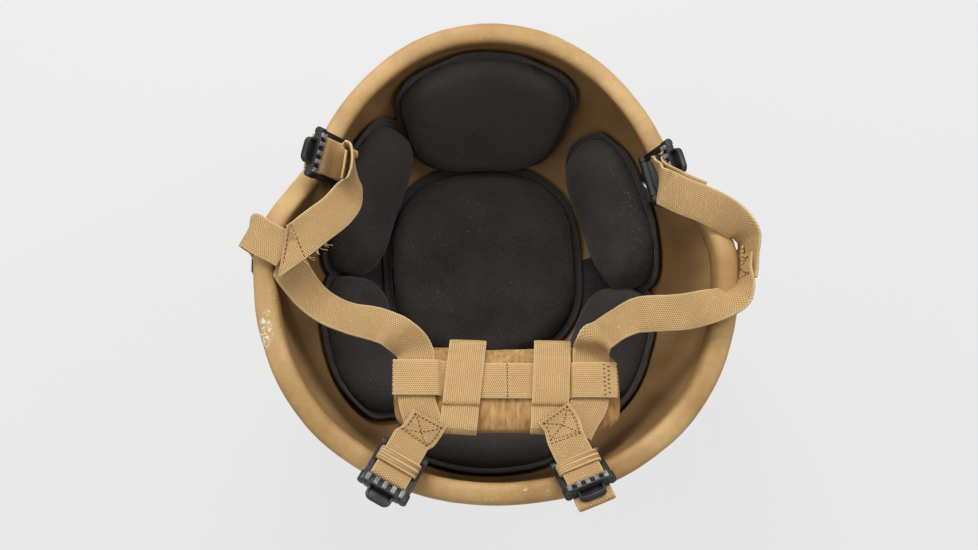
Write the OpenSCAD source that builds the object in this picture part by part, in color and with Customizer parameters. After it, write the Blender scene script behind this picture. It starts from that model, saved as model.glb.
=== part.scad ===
// Combat helmet with pads, webbing harness and nape pad, upturned on its crown.
// The opening faces +Z, the brow faces +Y and the wearer's left is +X.

/* [Shell] */
// Brow-to-nape length of the shell at its widest level
shell_length = 269; // [262:1:276]
// Side-to-side width of the shell at its widest level
shell_width = 230; // [225:1:236]
// How much further the brow stands from the centre than the nape
brow_lead = 3; // [0:0.5:6]
// How far the temples draw in behind the brow
temple_waist = 2.7; // [1.5:0.1:3.5]
// Wall thickness of the laminate
shell_t = 7.6; // [7:0.1:8.4]
// Height of the widest level above the crown
belt_z = 115; // [110:1:120]
// Squareness of the dome, where 2 is an ellipse
crown_power = 2.2; // [2:0.05:2.5]
// How far the wall flares out at the ears
ear_flare = 14; // [11:0.5:17]
// Height at which the flare begins
flare_z = 70; // [60:1:80]

/* [Rim] */
// Height of the rim above the crown at the brow
brow_z = 128; // [125:1:131]
// Height of the rim at the ears
ear_z = 168; // [165:0.5:170]
// Height of the rim at the nape
nape_z = 158; // [155:0.5:161]
// Wall of the rubber edge trim
trim_t = 1.8; // [1.2:0.1:2.2]
// Depth of the trim's lips down the wall
trim_lip = 12; // [9:0.5:14]

/* [Strap mounts] */
// Depth of the four bolts below the rim
bolt_drop = 25; // [23:0.5:28]
// Shank radius of the mounting screws
bolt_r = 2.4; // [2:0.1:2.6]
// Azimuth of the front bolts from the brow
front_bolt_az = 60.5; // [58:0.5:62]
// Azimuth of the rear bolts from the brow
rear_bolt_az = 159; // [156:0.5:161]
// Height of the buckle hinges above the rim
hinge_rise = 4; // [3.5:0.1:6]
// Radius of the steel hinge pins
pin_r = 1; // [0.8:0.05:1.2]
// Length of a buckle from its hinge to the middle of its toothed bar
buckle_reach = 24; // [20:0.2:26]
// Photographed lift of the front right buckle above the rim plane
front_right_lift = 55; // [40:1:65]
// Photographed lift of the front left buckle
front_left_lift = 66; // [50:1:75]
// Photographed lift of the rear right buckle
rear_right_lift = 38; // [30:1:50]
// Photographed lift of the rear left buckle
rear_left_lift = 60; // [55:1:75]
// Turn of the front right bracket about its bolt, towards the ear
front_right_turn = 4; // [0:1:18]
// Turn of the front left bracket about its bolt, towards the ear
front_left_turn = 8; // [0:1:18]
// Turn of the rear right bracket about its bolt, towards the ear
rear_right_turn = 5; // [0:1:18]
// Turn of the rear left bracket about its bolt, towards the ear
rear_left_turn = 1; // [0:1:18]
// Cant of the front right barrel towards the ear
front_right_cant = 11; // [0:1:14]
// Cant of the front left barrel towards the ear
front_left_cant = 11; // [0:1:14]
// Cant of the rear right barrel towards the ear
rear_right_cant = 8; // [0:1:14]
// Cant of the rear left barrel towards the ear
rear_left_cant = 5; // [0:1:14]

/* [Webbing] */
// Width of the harness webbing
strap_w = 20; // [18.5:0.1:20.4]
// Thickness of the webbing
strap_t = 1.6; // [1.2:0.1:1.8]
// Gap between layers of webbing that lie on each other
layer_gap = 0.4; // [0.3:0.05:0.5]

/* [Pads] */
// Thickness of a comfort pad at its crown
pad_t = 18; // [14:0.5:20]
// Width of the welded flange round a pad
pad_flange = 5; // [4:0.5:6]
// Thickness of the welded flange
flange_t = 2.2; // [1.6:0.1:3]
// Radius of the round crown pad
crown_pad_r = 61; // [57:0.5:62]
// Thickness of the hook discs on the shell
hook_t = 1; // [0.8:0.1:1.4]
// Radius of the hook discs
hook_r = 19; // [15:0.5:21]
// Width of the nape pad
nape_pad_w = 125; // [121:1:129]
// Height of the nape pad
nape_pad_h = 52; // [48:1:56]
// Thickness of the nape pad
nape_pad_t = 12; // [9:0.5:14]

/* [Chin strap] */
// Width of the side-release buckle
release_w = 27; // [25:0.5:29]
// Height of the chin cup along the strap
chin_cup_h = 72; // [60:1:76]
// Width of the chin cup
chin_cup_w = 42; // [36:1:48]
// Thickness of the chin cup
chin_cup_t = 8.5; // [6:0.5:10]

/* [Hidden] */

// Colours, as photographed
shell_color = "#8a6a44";
trim_color = "#c9a56e";
webbing_color = "#b8935c";
suede_color = "#a97f4a";
pad_color = "#231f20";
hook_color = "#2a2c26";
plastic_color = "#1c1d20";
screw_color = "#9c7d50";
steel_color = "#8d9095";

// Fits and clearances
trim_gap = 0.4;
seat_gap = 0.4;
hook_gap = 0.5;
pad_seat = 0.5;
pin_fit = 0.05;
hinge_side_gap = 0.4;
strap_slot_gap = 0.5;
stitch_gap = 0.5;

// Sampling of the curved surfaces
shell_steps = 72;
dome_rows = 12;
wall_rows = 7;
pad_steps = 36;
bore_fn = 48;

// Plan of the shell: radii by cosines of the azimuth
plan_mean = shell_length / 4 + shell_width / 4;
plan_oval = shell_length / 4 - shell_width / 4;
plan_shift = brow_lead / 2 - temple_waist;

// Azimuths between which the ear flare and the rim rise and fall
flare_start_az = 58;
flare_end_az = 96;
nape_start_az = 120;
nape_flare_loss = 0.62;
rise_start_az = 60;
rise_end_az = 94;
fall_start_az = 115;
fall_end_az = 165;
flare_limit = 1.2;

// The shell is drawn about its own axis, then moved so that the origin lies under the middle
// of the helmet with its harness
from_axis = [-1.9, 2.5, 0];

function unit(v) = v / norm(v);
function ease(x) = let(u = min(1, max(0, x))) u * u * (3 - 2 * u);
function from_brow(az) = abs(az - 360 * round(az / 360));
function ramp(az, a, b) = ease((from_brow(az) - a) / (b - a));
function plan_r(az) =
    plan_mean + plan_shift * cos(az) + plan_oval * cos(2 * az) + temple_waist * cos(3 * az);
function flare(az) =
    ear_flare * ramp(az, flare_start_az, flare_end_az)
    * (1 - nape_flare_loss * ramp(az, nape_start_az, 180));
function rim_z(az) =
    brow_z + (ear_z - brow_z) * ramp(az, rise_start_az, rise_end_az)
    - (ear_z - nape_z) * ramp(az, fall_start_az, fall_end_az);
function wall_r(az, z) =
    plan_r(az) + flare(az) * pow(min(flare_limit, max(0, (z - flare_z) / (rim_z(az) - flare_z))), 2);

// A point of the wall at an azimuth and height, moved in from the outer face by inset
function skin_r(az, z, inset) =
    (wall_r(az, z) - inset)
    * pow(1 - pow(max(0, belt_z - z) / (belt_z - inset), crown_power), 1 / crown_power);
function skin(az, z, inset) =
    let(r = skin_r(az, z, inset)) [r * sin(az), r * cos(az), z];
function rim_at(az, out, up) = skin(az, rim_z(az), -out) + [0, 0, up];

// One station of a meridian, from the crown at row 0 to the rim at the last row
function meridian(az, row, inset) =
    row <= dome_rows
    ? let(
        a = 90 * row / dome_rows,
        z = belt_z - (belt_z - inset) * pow(cos(a), 2 / crown_power),
        r = (wall_r(az, z) - inset) * pow(sin(a), 2 / crown_power)
    ) [r * sin(az), r * cos(az), z]
    : skin(az, belt_z + (rim_z(az) - belt_z) * (row - dome_rows) / wall_rows, inset);

// Distance from the centre of the belt to the wall along a direction
function wall_level(p, inset) =
    let(az = atan2(p.x, p.y), r = norm([p.x, p.y]))
    pow(
        pow(r / (wall_r(az, p.z + belt_z) - inset), crown_power)
        + pow(max(0, -p.z) / (belt_z - inset), crown_power),
        1 / crown_power
    );
function reach(dir, inset, s = 110, n = 7) =
    n == 0 ? s : reach(dir, inset, s / wall_level(dir * s, inset), n - 1);
function on_wall(dir, inset) = [0, 0, belt_z] + dir * reach(dir, inset);

// Triangles between rings of k points each, stored one after another
function ring_faces(rings, k, flip) = [
    for (j = [0 : rings - 2]) for (i = [0 : k - 1])
        let(a = j * k + i, b = j * k + (i + 1) % k, c = b + k, d = a + k)
        each flip ? [[a, c, b], [a, d, c]] : [[a, b, c], [a, c, d]]
];
function fan_faces(first, k, tip, flip) = [
    for (i = [0 : k - 1])
        let(a = first + i, b = first + (i + 1) % k)
        flip ? [tip, a, b] : [tip, b, a]
];

// Closed solid through rings, with one point at each end
module ring_solid(tip, rings, tail) {
    k = len(rings[0]);
    n = len(rings);
    points = concat([for (r = rings) each r], [tip, tail]);
    faces = concat(
        ring_faces(n, k, false),
        fan_faces(0, k, n * k, false),
        fan_faces((n - 1) * k, k, n * k + 1, true)
    );
    polyhedron(points, faces);
}

// Shell
module shell_body() {
    k = shell_steps;
    rows = dome_rows + wall_rows;
    count = rows * k;
    outer = [for (j = [1 : rows]) for (i = [0 : k - 1]) meridian(360 * i / k, j, 0)];
    inner = [for (j = [1 : rows]) for (i = [0 : k - 1]) meridian(360 * i / k, j, shell_t)];
    inner_faces = [for (f = ring_faces(rows, k, true)) f + [count, count, count]];
    rim_faces = [
        for (i = [0 : k - 1])
            let(a = count - k + i, b = count - k + (i + 1) % k)
            each [[a, b, b + count], [a, b + count, a + count]]
    ];
    faces = concat(
        ring_faces(rows, k, false),
        fan_faces(0, k, 2 * count, false),
        inner_faces,
        fan_faces(count, k, 2 * count + 1, true),
        rim_faces
    );
    polyhedron(concat(outer, inner, [[0, 0, 0], [0, 0, shell_t]]), faces);
}
module shell() {
    color(shell_color) translate(from_axis) difference() {
        shell_body();
        for (m = MOUNTS) translate(-from_axis) at_mount(m) translate([-3 * shell_t, 0, -bolt_drop])
            rotate([0, 90, 0]) cylinder(h = 5 * shell_t, r = shell_hole_r, $fn = bore_fn);
    }
}

// Rubber channel pushed over the rim: section as outward offset and height above the rim
trim_mid = trim_t + 0.3;
trim_shoulder = 0.7;
trim_section = [
    [trim_t, -trim_lip],
    [trim_mid, -trim_lip / 3],
    [trim_t - 0.4, trim_shoulder],
    [-0.9, trim_mid],
    [0.9 - shell_t, trim_mid],
    [0.4 - trim_t - shell_t, trim_shoulder],
    [-trim_mid - shell_t, -trim_lip / 3],
    [-trim_t - shell_t, -trim_lip],
    [-trim_gap - shell_t, -trim_lip],
    [-trim_gap - shell_t, trim_gap],
    [trim_gap, trim_gap],
    [trim_gap, -trim_lip]
];
module edge_trim() {
    k = len(trim_section);
    n = shell_steps;
    points = [
        for (i = [0 : n - 1]) for (s = trim_section)
            let(az = 360 * i / n)
            skin(az, rim_z(az) + s[1], -s[0])
    ];
    faces = [
        for (i = [0 : n - 1]) for (j = [0 : k - 1])
            let(
                a = i * k + j,
                b = i * k + (j + 1) % k,
                d = ((i + 1) % n) * k + j,
                c = ((i + 1) % n) * k + (j + 1) % k
            )
            each [[a, d, c], [a, c, b]]
    ];
    color(trim_color) translate(from_axis) polyhedron(points, faces);
}

// Pads: placed by azimuth and by angle up from the crown, sized across and toward the rim.
// Each is [azimuth, rise, turn, half_width, half_height, corner_power, taper].
CROWN_PAD = [15, 7, 0, crown_pad_r + 1, crown_pad_r, 2, 0];
FRONT_PAD = [-1, 64.5, 0, 48, 39, 3.2, 0.13];
REAR_PAD = [180, 62.5, 0, 46, 32, 3, 0.12];
FRONT_RIGHT_PAD = [-60, 59.5, 12, 47, 31, 2.8, 0];
FRONT_LEFT_PAD = [65, 60, -3, 48, 30.5, 2.8, 0];
REAR_RIGHT_PAD = [-119, 59, -14, 44, 30, 2.8, 0];
REAR_LEFT_PAD = [122, 58, 8, 40, 30, 2.8, 0];

pad_base = shell_t + hook_gap + hook_t + pad_seat;
pad_radius = belt_z - pad_base;
function pad_frame(p) =
    let(
        along = [cos(p[0]), -sin(p[0]), 0],
        toward = [cos(p[1]) * sin(p[0]), cos(p[1]) * cos(p[0]), sin(p[1])]
    )
    [
        [sin(p[1]) * sin(p[0]), sin(p[1]) * cos(p[0]), -cos(p[1])],
        along * cos(p[2]) + toward * sin(p[2]),
        toward * cos(p[2]) - along * sin(p[2])
    ];
function pad_edge(p, a) =
    let(
        s = pow(pow(abs(cos(a)) / p[3], p[5]) + pow(abs(sin(a)) / p[4], p[5]), -1 / p[5]),
        v = s * sin(a)
    )
    [s * cos(a) * (1 + p[6] * v / p[4]), v];
function pad_dir(f, u, v) =
    let(q = norm([u, v]), turn = q / pad_radius * 180 / PI)
    q < 0.01 ? f[0] : f[0] * cos(turn) + (f[1] * u + f[2] * v) / q * sin(turn);
function pad_ring(p, back, inset) =
    let(f = pad_frame(p))
    [
        for (i = [0 : pad_steps - 1])
            let(e = pad_edge(p, 360 * i / pad_steps), k = max(0.05, 1 - back / norm(e)))
            on_wall(pad_dir(f, e.x * k, e.y * k), inset)
    ];

pad_wall_run = 4;
module wall_pad(p) {
    f = pad_frame(p);
    body = pad_t - flange_t;
    // Distance in from the edge and height above the base, from the crown outward
    profile = [
        [p[4] * 0.62, pad_t * 0.985],
        [p[4] * 0.36, pad_t * 0.93],
        [pad_flange + pad_wall_run + 1, flange_t + body * 0.74],
        [pad_flange + pad_wall_run / 3, flange_t + body * 0.42],
        [pad_flange, flange_t],
        [0.6, flange_t * 0.9],
        [0, flange_t * 0.4],
        [1, 0],
        [p[4] * 0.4, 0],
        [p[4] * 0.72, 0]
    ];
    rings = [for (s = profile) pad_ring(p, s[0], pad_base + s[1])];
    color(pad_color) translate(from_axis) ring_solid(
        on_wall(f[0], pad_base + pad_t), rings, on_wall(f[0], pad_base)
    );
}
module crown_pad() { wall_pad(CROWN_PAD); }
module front_pad() { wall_pad(FRONT_PAD); }
module rear_pad() { wall_pad(REAR_PAD); }
module front_right_pad() { wall_pad(FRONT_RIGHT_PAD); }
module front_left_pad() { wall_pad(FRONT_LEFT_PAD); }
module rear_right_pad() { wall_pad(REAR_RIGHT_PAD); }
module rear_left_pad() { wall_pad(REAR_LEFT_PAD); }

// Hook discs stuck to the wall: one behind each pad and two in the gaps between pads
HOOK_SPOTS = [
    [0, 7.5], [-2, 64], [180, 62], [-62, 62], [65, 60], [-119, 60], [119, 58],
    [-94, 39], [92, 39]
];
hook_steps = 16;
module hook_disc(spot) {
    f = pad_frame([spot[0], spot[1], 0]);
    rings = [
        for (s = [[0.5, hook_t], [1, hook_t], [1, 0], [0.5, 0]]) [
            for (i = [0 : hook_steps - 1])
                let(a = 360 * i / hook_steps)
                on_wall(
                    pad_dir(f, hook_r * s[0] * cos(a), hook_r * s[0] * sin(a)),
                    shell_t + hook_gap + s[1]
                )
        ]
    ];
    ring_solid(
        on_wall(f[0], shell_t + hook_gap + hook_t), rings, on_wall(f[0], shell_t + hook_gap)
    );
}
module hook_discs() {
    color(hook_color) translate(from_axis) for (s = HOOK_SPOTS) hook_disc(s);
}

// Strap mounts: [azimuth, photographed lift of the buckle, turn of the bracket about its
// bolt, cant of its barrel]. Each has its own axes: x out through the wall, y along the rim,
// z up the wall. Turn and cant lead the buckles towards the ears.
FRONT_RIGHT = [-front_bolt_az + 1, front_right_lift, -front_right_turn, front_right_cant];
FRONT_LEFT = [front_bolt_az + 1.5, front_left_lift, front_left_turn, -front_left_cant];
REAR_RIGHT = [-rear_bolt_az + 1.5, rear_right_lift, rear_right_turn, -rear_right_cant];
REAR_LEFT = [rear_bolt_az + 2, rear_left_lift, -rear_left_turn, rear_left_cant];
MOUNTS = [FRONT_RIGHT, FRONT_LEFT, REAR_RIGHT, REAR_LEFT];

function rim_along(m) = unit(rim_at(m[0] - 1, 0, 0) - rim_at(m[0] + 1, 0, 0));
function wall_up(m) =
    let(
        chord = rim_at(m[0], 0, 0) - skin(m[0], rim_z(m[0]) - bolt_drop, 0),
        along = rim_along(m)
    )
    unit(chord - (chord * along) * along);
function mount_out(m) = cross(rim_along(m), wall_up(m));
function mount_along(m) = rim_along(m) * cos(m[2]) + wall_up(m) * sin(m[2]);
function mount_up(m) = wall_up(m) * cos(m[2]) - rim_along(m) * sin(m[2]);
function mount_origin(m) = rim_at(m[0], 0, 0) + (mount_up(m) - wall_up(m)) * bolt_drop;
function in_mount(m, p) =
    mount_origin(m) + mount_out(m) * p.x + mount_along(m) * p.y + mount_up(m) * p.z;
module at_mount(m) {
    o = from_axis + mount_origin(m);
    x = mount_out(m);
    y = mount_along(m);
    z = mount_up(m);
    multmatrix([
        [x.x, y.x, z.x, o.x],
        [x.y, y.y, z.y, o.y],
        [x.z, y.z, z.z, o.z],
        [0, 0, 0, 1]
    ]) children();
}

// Bracket plate, its hinge barrel and the bolt stack, as distances in from the outer face
plate_t = 2.2;
plate_w = 20;
plate_face = -(shell_t + trim_mid + 1.4);
barrel_r = 3.2;
cant_room = 2.6;
web_w = plate_w - 3.4;
hinge_x = plate_face - barrel_r - cant_room;
boss_r = 6;
boss_gap = 1.4;
nut_sleeve_r = bolt_r + 0.9;
nut_flange_r = 6.5;
nut_flange_t = 1.5;
shell_hole_r = nut_sleeve_r + 0.3;
screw_head_r = 6;
screw_head_t = 2.2;

module bracket(m) {
    color(plastic_color) at_mount(m) difference() {
        union() {
            translate([plate_face - plate_t, -plate_w / 2, -bolt_drop])
                cube([plate_t, plate_w, bolt_drop]);
            translate([plate_face - plate_t, 0, -bolt_drop])
                rotate([0, 90, 0]) cylinder(h = plate_t, r = plate_w / 2, $fn = bore_fn);
            translate([plate_face - plate_t, 0, -bolt_drop])
                rotate([0, 90, 0])
                cylinder(h = plate_t - plate_face - shell_t - boss_gap, r = boss_r, $fn = bore_fn);
            hull() {
                translate([hinge_x, 0, hinge_rise]) rotate([0, 0, m[3]]) rotate([90, 0, 0])
                    cylinder(h = plate_w, r = barrel_r, center = true, $fn = bore_fn);
                translate([plate_face - plate_t, -web_w / 2, -hinge_rise])
                    cube([plate_t, web_w, 1.2 * hinge_rise]);
            }
        }
        translate([hinge_x, 0, hinge_rise]) rotate([0, 0, m[3]]) rotate([90, 0, 0])
            cylinder(h = 2 * plate_w, r = pin_r + pin_fit, center = true, $fn = bore_fn);
        translate([2 * plate_face, 0, -bolt_drop])
            rotate([0, 90, 0]) cylinder(h = -2 * plate_face, r = nut_sleeve_r + pin_fit, $fn = bore_fn);
    }
}
module front_right_bracket() { bracket(FRONT_RIGHT); }
module front_left_bracket() { bracket(FRONT_LEFT); }
module rear_right_bracket() { bracket(REAR_RIGHT); }
module rear_left_bracket() { bracket(REAR_LEFT); }

module mount_screws() {
    color(screw_color) for (m = MOUNTS) at_mount(m) translate([0, 0, -bolt_drop]) rotate([0, 90, 0]) {
        translate([0, 0, seat_gap]) intersection() {
            cylinder(h = screw_head_t, r = screw_head_r, $fn = bore_fn);
            translate([0, 0, screw_head_t - 3 * screw_head_r]) sphere(r = 3 * screw_head_r, $fn = 96);
        }
        translate([0, 0, plate_face - plate_t]) cylinder(
            h = seat_gap + plate_t - plate_face + screw_head_t / 2, r = bolt_r, $fn = bore_fn
        );
    }
}
module post_nuts() {
    color(steel_color) for (m = MOUNTS)
        at_mount(m) translate([plate_face - plate_t - stitch_gap, 0, -bolt_drop]) rotate([0, 90, 0])
        difference() {
            union() {
                translate([0, 0, -nut_flange_t])
                    cylinder(h = nut_flange_t, r = nut_flange_r, $fn = bore_fn);
                cylinder(h = plate_t + stitch_gap - plate_face - seat_gap, r = nut_sleeve_r, $fn = bore_fn);
            }
            translate([0, 0, stitch_gap / 2])
                cylinder(h = 3 * shell_t, r = bolt_r + pin_fit, $fn = bore_fn);
        }
}

// Buckles: two arms hinged outside the barrel, a smooth bar, a toothed bar and a thumb tab.
// In a buckle's own axes x runs from the hinge to the toothed bar and z is its upper side.
arm_t = 3.2;
arm_in = plate_w / 2 + hinge_side_gap;
arm_out = arm_in + arm_t;
tooth_bar_w = 5;
tooth_bar_t = 4.2;
smooth_bar_r = 1.5;
tab_run = 6.6;
tab_w = 16;
rib_count = 5;

module at_hinge(m) {
    at_mount(m) translate([hinge_x, 0, hinge_rise]) rotate([0, 0, m[3]]) rotate([0, -m[1], 0])
        children();
}
module buckle(m) {
    color(plastic_color) at_hinge(m) difference() {
        union() {
            for (side = [-1, 1]) {
                translate([0, side * (arm_in + arm_t / 2), 0])
                    rotate([90, 0, 0]) cylinder(h = arm_t, r = barrel_r, center = true, $fn = bore_fn);
                translate([0, side > 0 ? arm_in : -arm_out, -arm_t / 2])
                    cube([buckle_reach + tooth_bar_w / 2, arm_t, arm_t]);
            }
            translate([buckle_reach / 2, 0, -0.1])
                rotate([90, 0, 0]) cylinder(h = arm_in + arm_out, r = smooth_bar_r, center = true, $fn = bore_fn);
            translate([buckle_reach - tooth_bar_w / 2, -arm_out, -tooth_bar_t / 2])
                cube([tooth_bar_w, 2 * arm_out, tooth_bar_t]);
            for (i = [0 : rib_count - 1])
                translate([buckle_reach, (i - (rib_count - 1) / 2) * 5, tooth_bar_t / 2])
                    cube([tooth_bar_w, 2.6, 1.6], center = true);
            tab();
        }
        rotate([90, 0, 0]) cylinder(h = 4 * arm_out, r = pin_r + pin_fit, center = true, $fn = bore_fn);
    }
}
module tab() {
    corner = 4;
    translate([buckle_reach + tooth_bar_w / 2 - 0.2, 0, -tooth_bar_t / 2 + 0.2]) {
        translate([0, -tab_w / 2, 0]) cube([tab_run - corner, tab_w, 1.6]);
        translate([0, corner - tab_w / 2, 0]) cube([tab_run, tab_w - 2 * corner, 1.6]);
        translate([tab_run - 1.2, corner - tab_w / 2, 0]) cube([1.2, tab_w - 2 * corner, 3]);
        for (side = [-1, 1])
            translate([tab_run - corner, side * (tab_w / 2 - corner), 0])
                cylinder(h = 1.6, r = corner, $fn = bore_fn);
    }
}
module front_right_buckle() { buckle(FRONT_RIGHT); }
module front_left_buckle() { buckle(FRONT_LEFT); }
module rear_right_buckle() { buckle(REAR_RIGHT); }
module rear_left_buckle() { buckle(REAR_LEFT); }

module hinge_pin(m) {
    color(steel_color) at_hinge(m)
        rotate([90, 0, 0]) cylinder(h = 2 * arm_out - 0.4, r = pin_r, center = true, $fn = bore_fn);
}
module front_right_pin() { hinge_pin(FRONT_RIGHT); }
module front_left_pin() { hinge_pin(FRONT_LEFT); }
module rear_right_pin() { hinge_pin(REAR_RIGHT); }
module rear_left_pin() { hinge_pin(REAR_LEFT); }

// Webbing held by a buckle: over the barrel and smooth bar, then down round the toothed bar
over_barrel = barrel_r + layer_gap + strap_t / 2;
over_bar = smooth_bar_r - 0.1 + layer_gap + strap_t / 2;
before_teeth = buckle_reach - tooth_bar_w / 2 - strap_slot_gap - strap_t / 2;
under_teeth = -(tooth_bar_t / 2 + strap_slot_gap + strap_t / 2);
held_path = [
    [over_barrel * cos(128), over_barrel * sin(128)],
    [over_barrel * cos(106), over_barrel * sin(106)],
    [over_barrel * cos(84), over_barrel * sin(84)],
    [buckle_reach * 0.28, (over_barrel + over_bar) / 2 + 0.3],
    [buckle_reach / 2, over_bar],
    [before_teeth - 1.4, over_bar - 0.5],
    [before_teeth - 0.1, over_bar - 2.2],
    [before_teeth + 0.1, under_teeth + 1.1],
    [before_teeth + 1.2, under_teeth],
    [buckle_reach + tooth_bar_w / 2, under_teeth]
];
function path_normal(p, i) =
    let(
        d = unit(p[min(len(p) - 1, i + 1)] - p[max(0, i - 1)])
    )
    [-d[1], d[0]];
module held_webbing(m) {
    n = len(held_path);
    upper = [for (i = [0 : n - 1]) held_path[i] + path_normal(held_path, i) * strap_t / 2];
    lower = [for (i = [0 : n - 1]) held_path[n - 1 - i] - path_normal(held_path, n - 1 - i) * strap_t / 2];
    color(webbing_color) at_hinge(m) rotate([90, 0, 0])
        linear_extrude(height = strap_w, center = true) polygon(concat(upper, lower));
}
module front_right_strap_end() { held_webbing(FRONT_RIGHT); }
module front_left_strap_end() { held_webbing(FRONT_LEFT); }
module rear_right_strap_end() { held_webbing(REAR_RIGHT); }
module rear_left_strap_end() { held_webbing(REAR_LEFT); }

// Free webbing: a route is a list of [x, y, z, across_x, across_y, across_z] stations, the
// middle of the strap and the direction of its width there. The stations were laid out on a
// shell of routed_width, and those by the sides follow its walls.
routed_width = 230;
middle_x = 60;
side_x = 110;
function spread(v) =
    let(part = min(1, max(0, (abs(v[0]) - middle_x) / (side_x - middle_x))))
    [
        for (i = [0 : len(v) - 1])
            v[i] + (i == 0 ? sign(v[0]) * part * (shell_width - routed_width) / 2 : 0)
    ];
function spline(a, b, c, d, t) =
    0.5 * (2 * b + (c - a) * t + (2 * a - 5 * b + 4 * c - d) * t * t + (3 * b - a - 3 * c + d) * t * t * t);
function smooth(r, n) = [
    for (i = [0 : len(r) - 2]) for (k = [0 : n - 1])
        spline(r[max(0, i - 1)], r[i], r[i + 1], r[min(len(r) - 1, i + 2)], k / n),
    r[len(r) - 1]
];
function place(v) = [v[0], v[1], v[2]];
function across(v) = [v[3], v[4], v[5]];
function corners(p, tangent, width) =
    let(s = unit(width - (width * tangent) * tangent), n = cross(tangent, s))
    [
        for (c = [[-1, -1], [1, -1], [1, 1], [-1, 1]])
            p + s * c[0] * strap_w / 2 + n * c[1] * strap_t / 2
    ];
module ribbon(route, n = 3) {
    r = smooth([for (v = route) spread(v)], n);
    m = len(r);
    points = [
        for (i = [0 : m - 1])
            let(t = unit(place(r[min(m - 1, i + 1)]) - place(r[max(0, i - 1)])))
            each corners(place(r[i]), t, across(r[i]))
    ];
    faces = concat(
        [[0, 1, 2], [0, 2, 3]],
        [
            for (i = [0 : m - 2]) for (j = [0 : 3])
                let(a = 4 * i + j, b = 4 * i + (j + 1) % 4, d = a + 4, c = b + 4)
                each [[a, d, c], [a, c, b]]
        ],
        [[4 * m - 4, 4 * m - 1, 4 * m - 2], [4 * m - 4, 4 * m - 2, 4 * m - 3]]
    );
    color(webbing_color) translate(from_axis) polyhedron(points, faces);
}

// The nape pad lies in its own plane: u to the wearer's left, v toward the brow, h up
nape_center = [6, -76, 146];
nape_tilt = 13.5;
function nape(u, v, h) =
    nape_center + [u, v * cos(nape_tilt) + h * sin(nape_tilt), h * cos(nape_tilt) - v * sin(nape_tilt)];
function nape_strap(u, v, h, du, dv) =
    concat(nape(u, v, h), nape(u + du, v + dv, h) - nape(u, v, h));
layer_1 = layer_gap + strap_t / 2;
layer_2 = layer_1 + strap_t + layer_gap;

// Stations along the free webbing, in the order in which the webbing runs
front_right_route = [
    [-81, 34, 147, 9, 0, -12],
    [-82, 27, 148, 14, -5, -10],
    [-88, 18, 153, 16, -12, -8],
    [-96, 9, 161, 14, -14, -5],
    [-103, 2.5, 170, 8, -17, -1],
    [-108, -2, 174.3, 1, -20, 0],
    [-112, -5.5, 174.6, -5, -20, 0]
];
side_right_route = [
    [-111, -13, 169.4, 12, 18, -1],
    [-107, -20, 165.5, 14, 16, -10],
    [-102, -27, 160, 10, 13, -14],
    [-95, -35, 153.5, 10, 10, -16],
    [-86, -41, 149, 12, 10, -14],
    [-75, -45, 145.5, 12, 11, -12],
    [-62, -46, 144, 12, 13, -8],
    [-53, -50, 144.5, 16, 8, -3],
    nape_strap(-50, 20, layer_1, 10, 0),
    nape_strap(-49, 4, layer_1, 10, 0),
    nape_strap(-49, -9, layer_1, 10, 0),
    nape_strap(-46, -20, layer_1 + 0.4, 10, -1),
    [-39.5, -101, 154.2, 17, -6, 0]
];
front_left_route = [
    [103.6, 34.4, 157.6, -7, -17, -8],
    [109, 28.5, 161, -5, -18, -8],
    [117, 20.5, 166, -5, -18, -8],
    [127, 11, 174, -5, -16, -8],
    [135.8, 2.5, 177.5, -3, -10, -12],
    [139, -5, 172.5, -1, -2, -17],
    [139, -8, 170.8, 0.3, 1.5, -18],
    [139, -10.5, 170, 0.3, 1.5, -18]
];
side_left_route = [
    [135.4, -8, 170.5, 0, 3, -18],
    [135.4, -16, 172, 0, 4, -18],
    [135.3, -22.5, 179, -4, 9, -14],
    [128, -29.5, 182, -7, 15, -6],
    [116, -33, 178.5, -6, 19, -2],
    [103, -35, 169.5, -4, 20, -3],
    [88, -36, 157, -1, 23, -5],
    [75, -38, 150, 4, 21, -4],
    [64, -44, 146.5, 14, 15, -3],
    nape_strap(50, 20, layer_1 + 0.4, 10, 0),
    nape_strap(48.5, 4, layer_1, 10, 0),
    nape_strap(48, -9, layer_1, 10, 0),
    nape_strap(46, -20, layer_1 + 1.1, 10, -1),
    [50, -102, 155.6, 17, -2, 0]
];

module front_right_strap() { ribbon(front_right_route); }
module front_left_strap() { ribbon(front_left_route); }
module side_right_strap() { ribbon(side_right_route); }
module side_left_strap() { ribbon(side_left_route); }

// Rear straps: from a stitched patch over the side straps to just inside the buckle hinges
patch_lift = strap_t + layer_gap + 0.9;
rear_end = over_barrel + strap_t / 2 + stitch_gap;
rear_slope = 206;
function near_hinge(m, r) =
    let(inward = r * cos(rear_slope))
    in_mount(m, [hinge_x + inward * cos(m[3]), inward * sin(m[3]), hinge_rise + r * sin(rear_slope)]);
function barrel_along(m) = mount_along(m) * cos(m[3]) - mount_out(m) * sin(m[3]);
function along_left(m) = barrel_along(m) * sign(barrel_along(m).x);
function at_rear(m, r) = concat(near_hinge(m, r), 20 * along_left(m));
rear_right_route = [
    [-33.5, -91.5, 151.2 + patch_lift, 17, -6, 0],
    [-37.5, -96, 152.5 + patch_lift, 17, -6, 0],
    at_rear(REAR_RIGHT, rear_end + 7),
    at_rear(REAR_RIGHT, rear_end)
];
rear_left_route = [
    [31, -91, 151.5 + patch_lift, 16, 9, -2],
    [34.5, -97, 152.9 + patch_lift, 17, 8, -1],
    at_rear(REAR_LEFT, rear_end + 7),
    at_rear(REAR_LEFT, rear_end)
];
module rear_right_strap() { ribbon(rear_right_route); }
module rear_left_strap() { ribbon(rear_left_route); }

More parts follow.
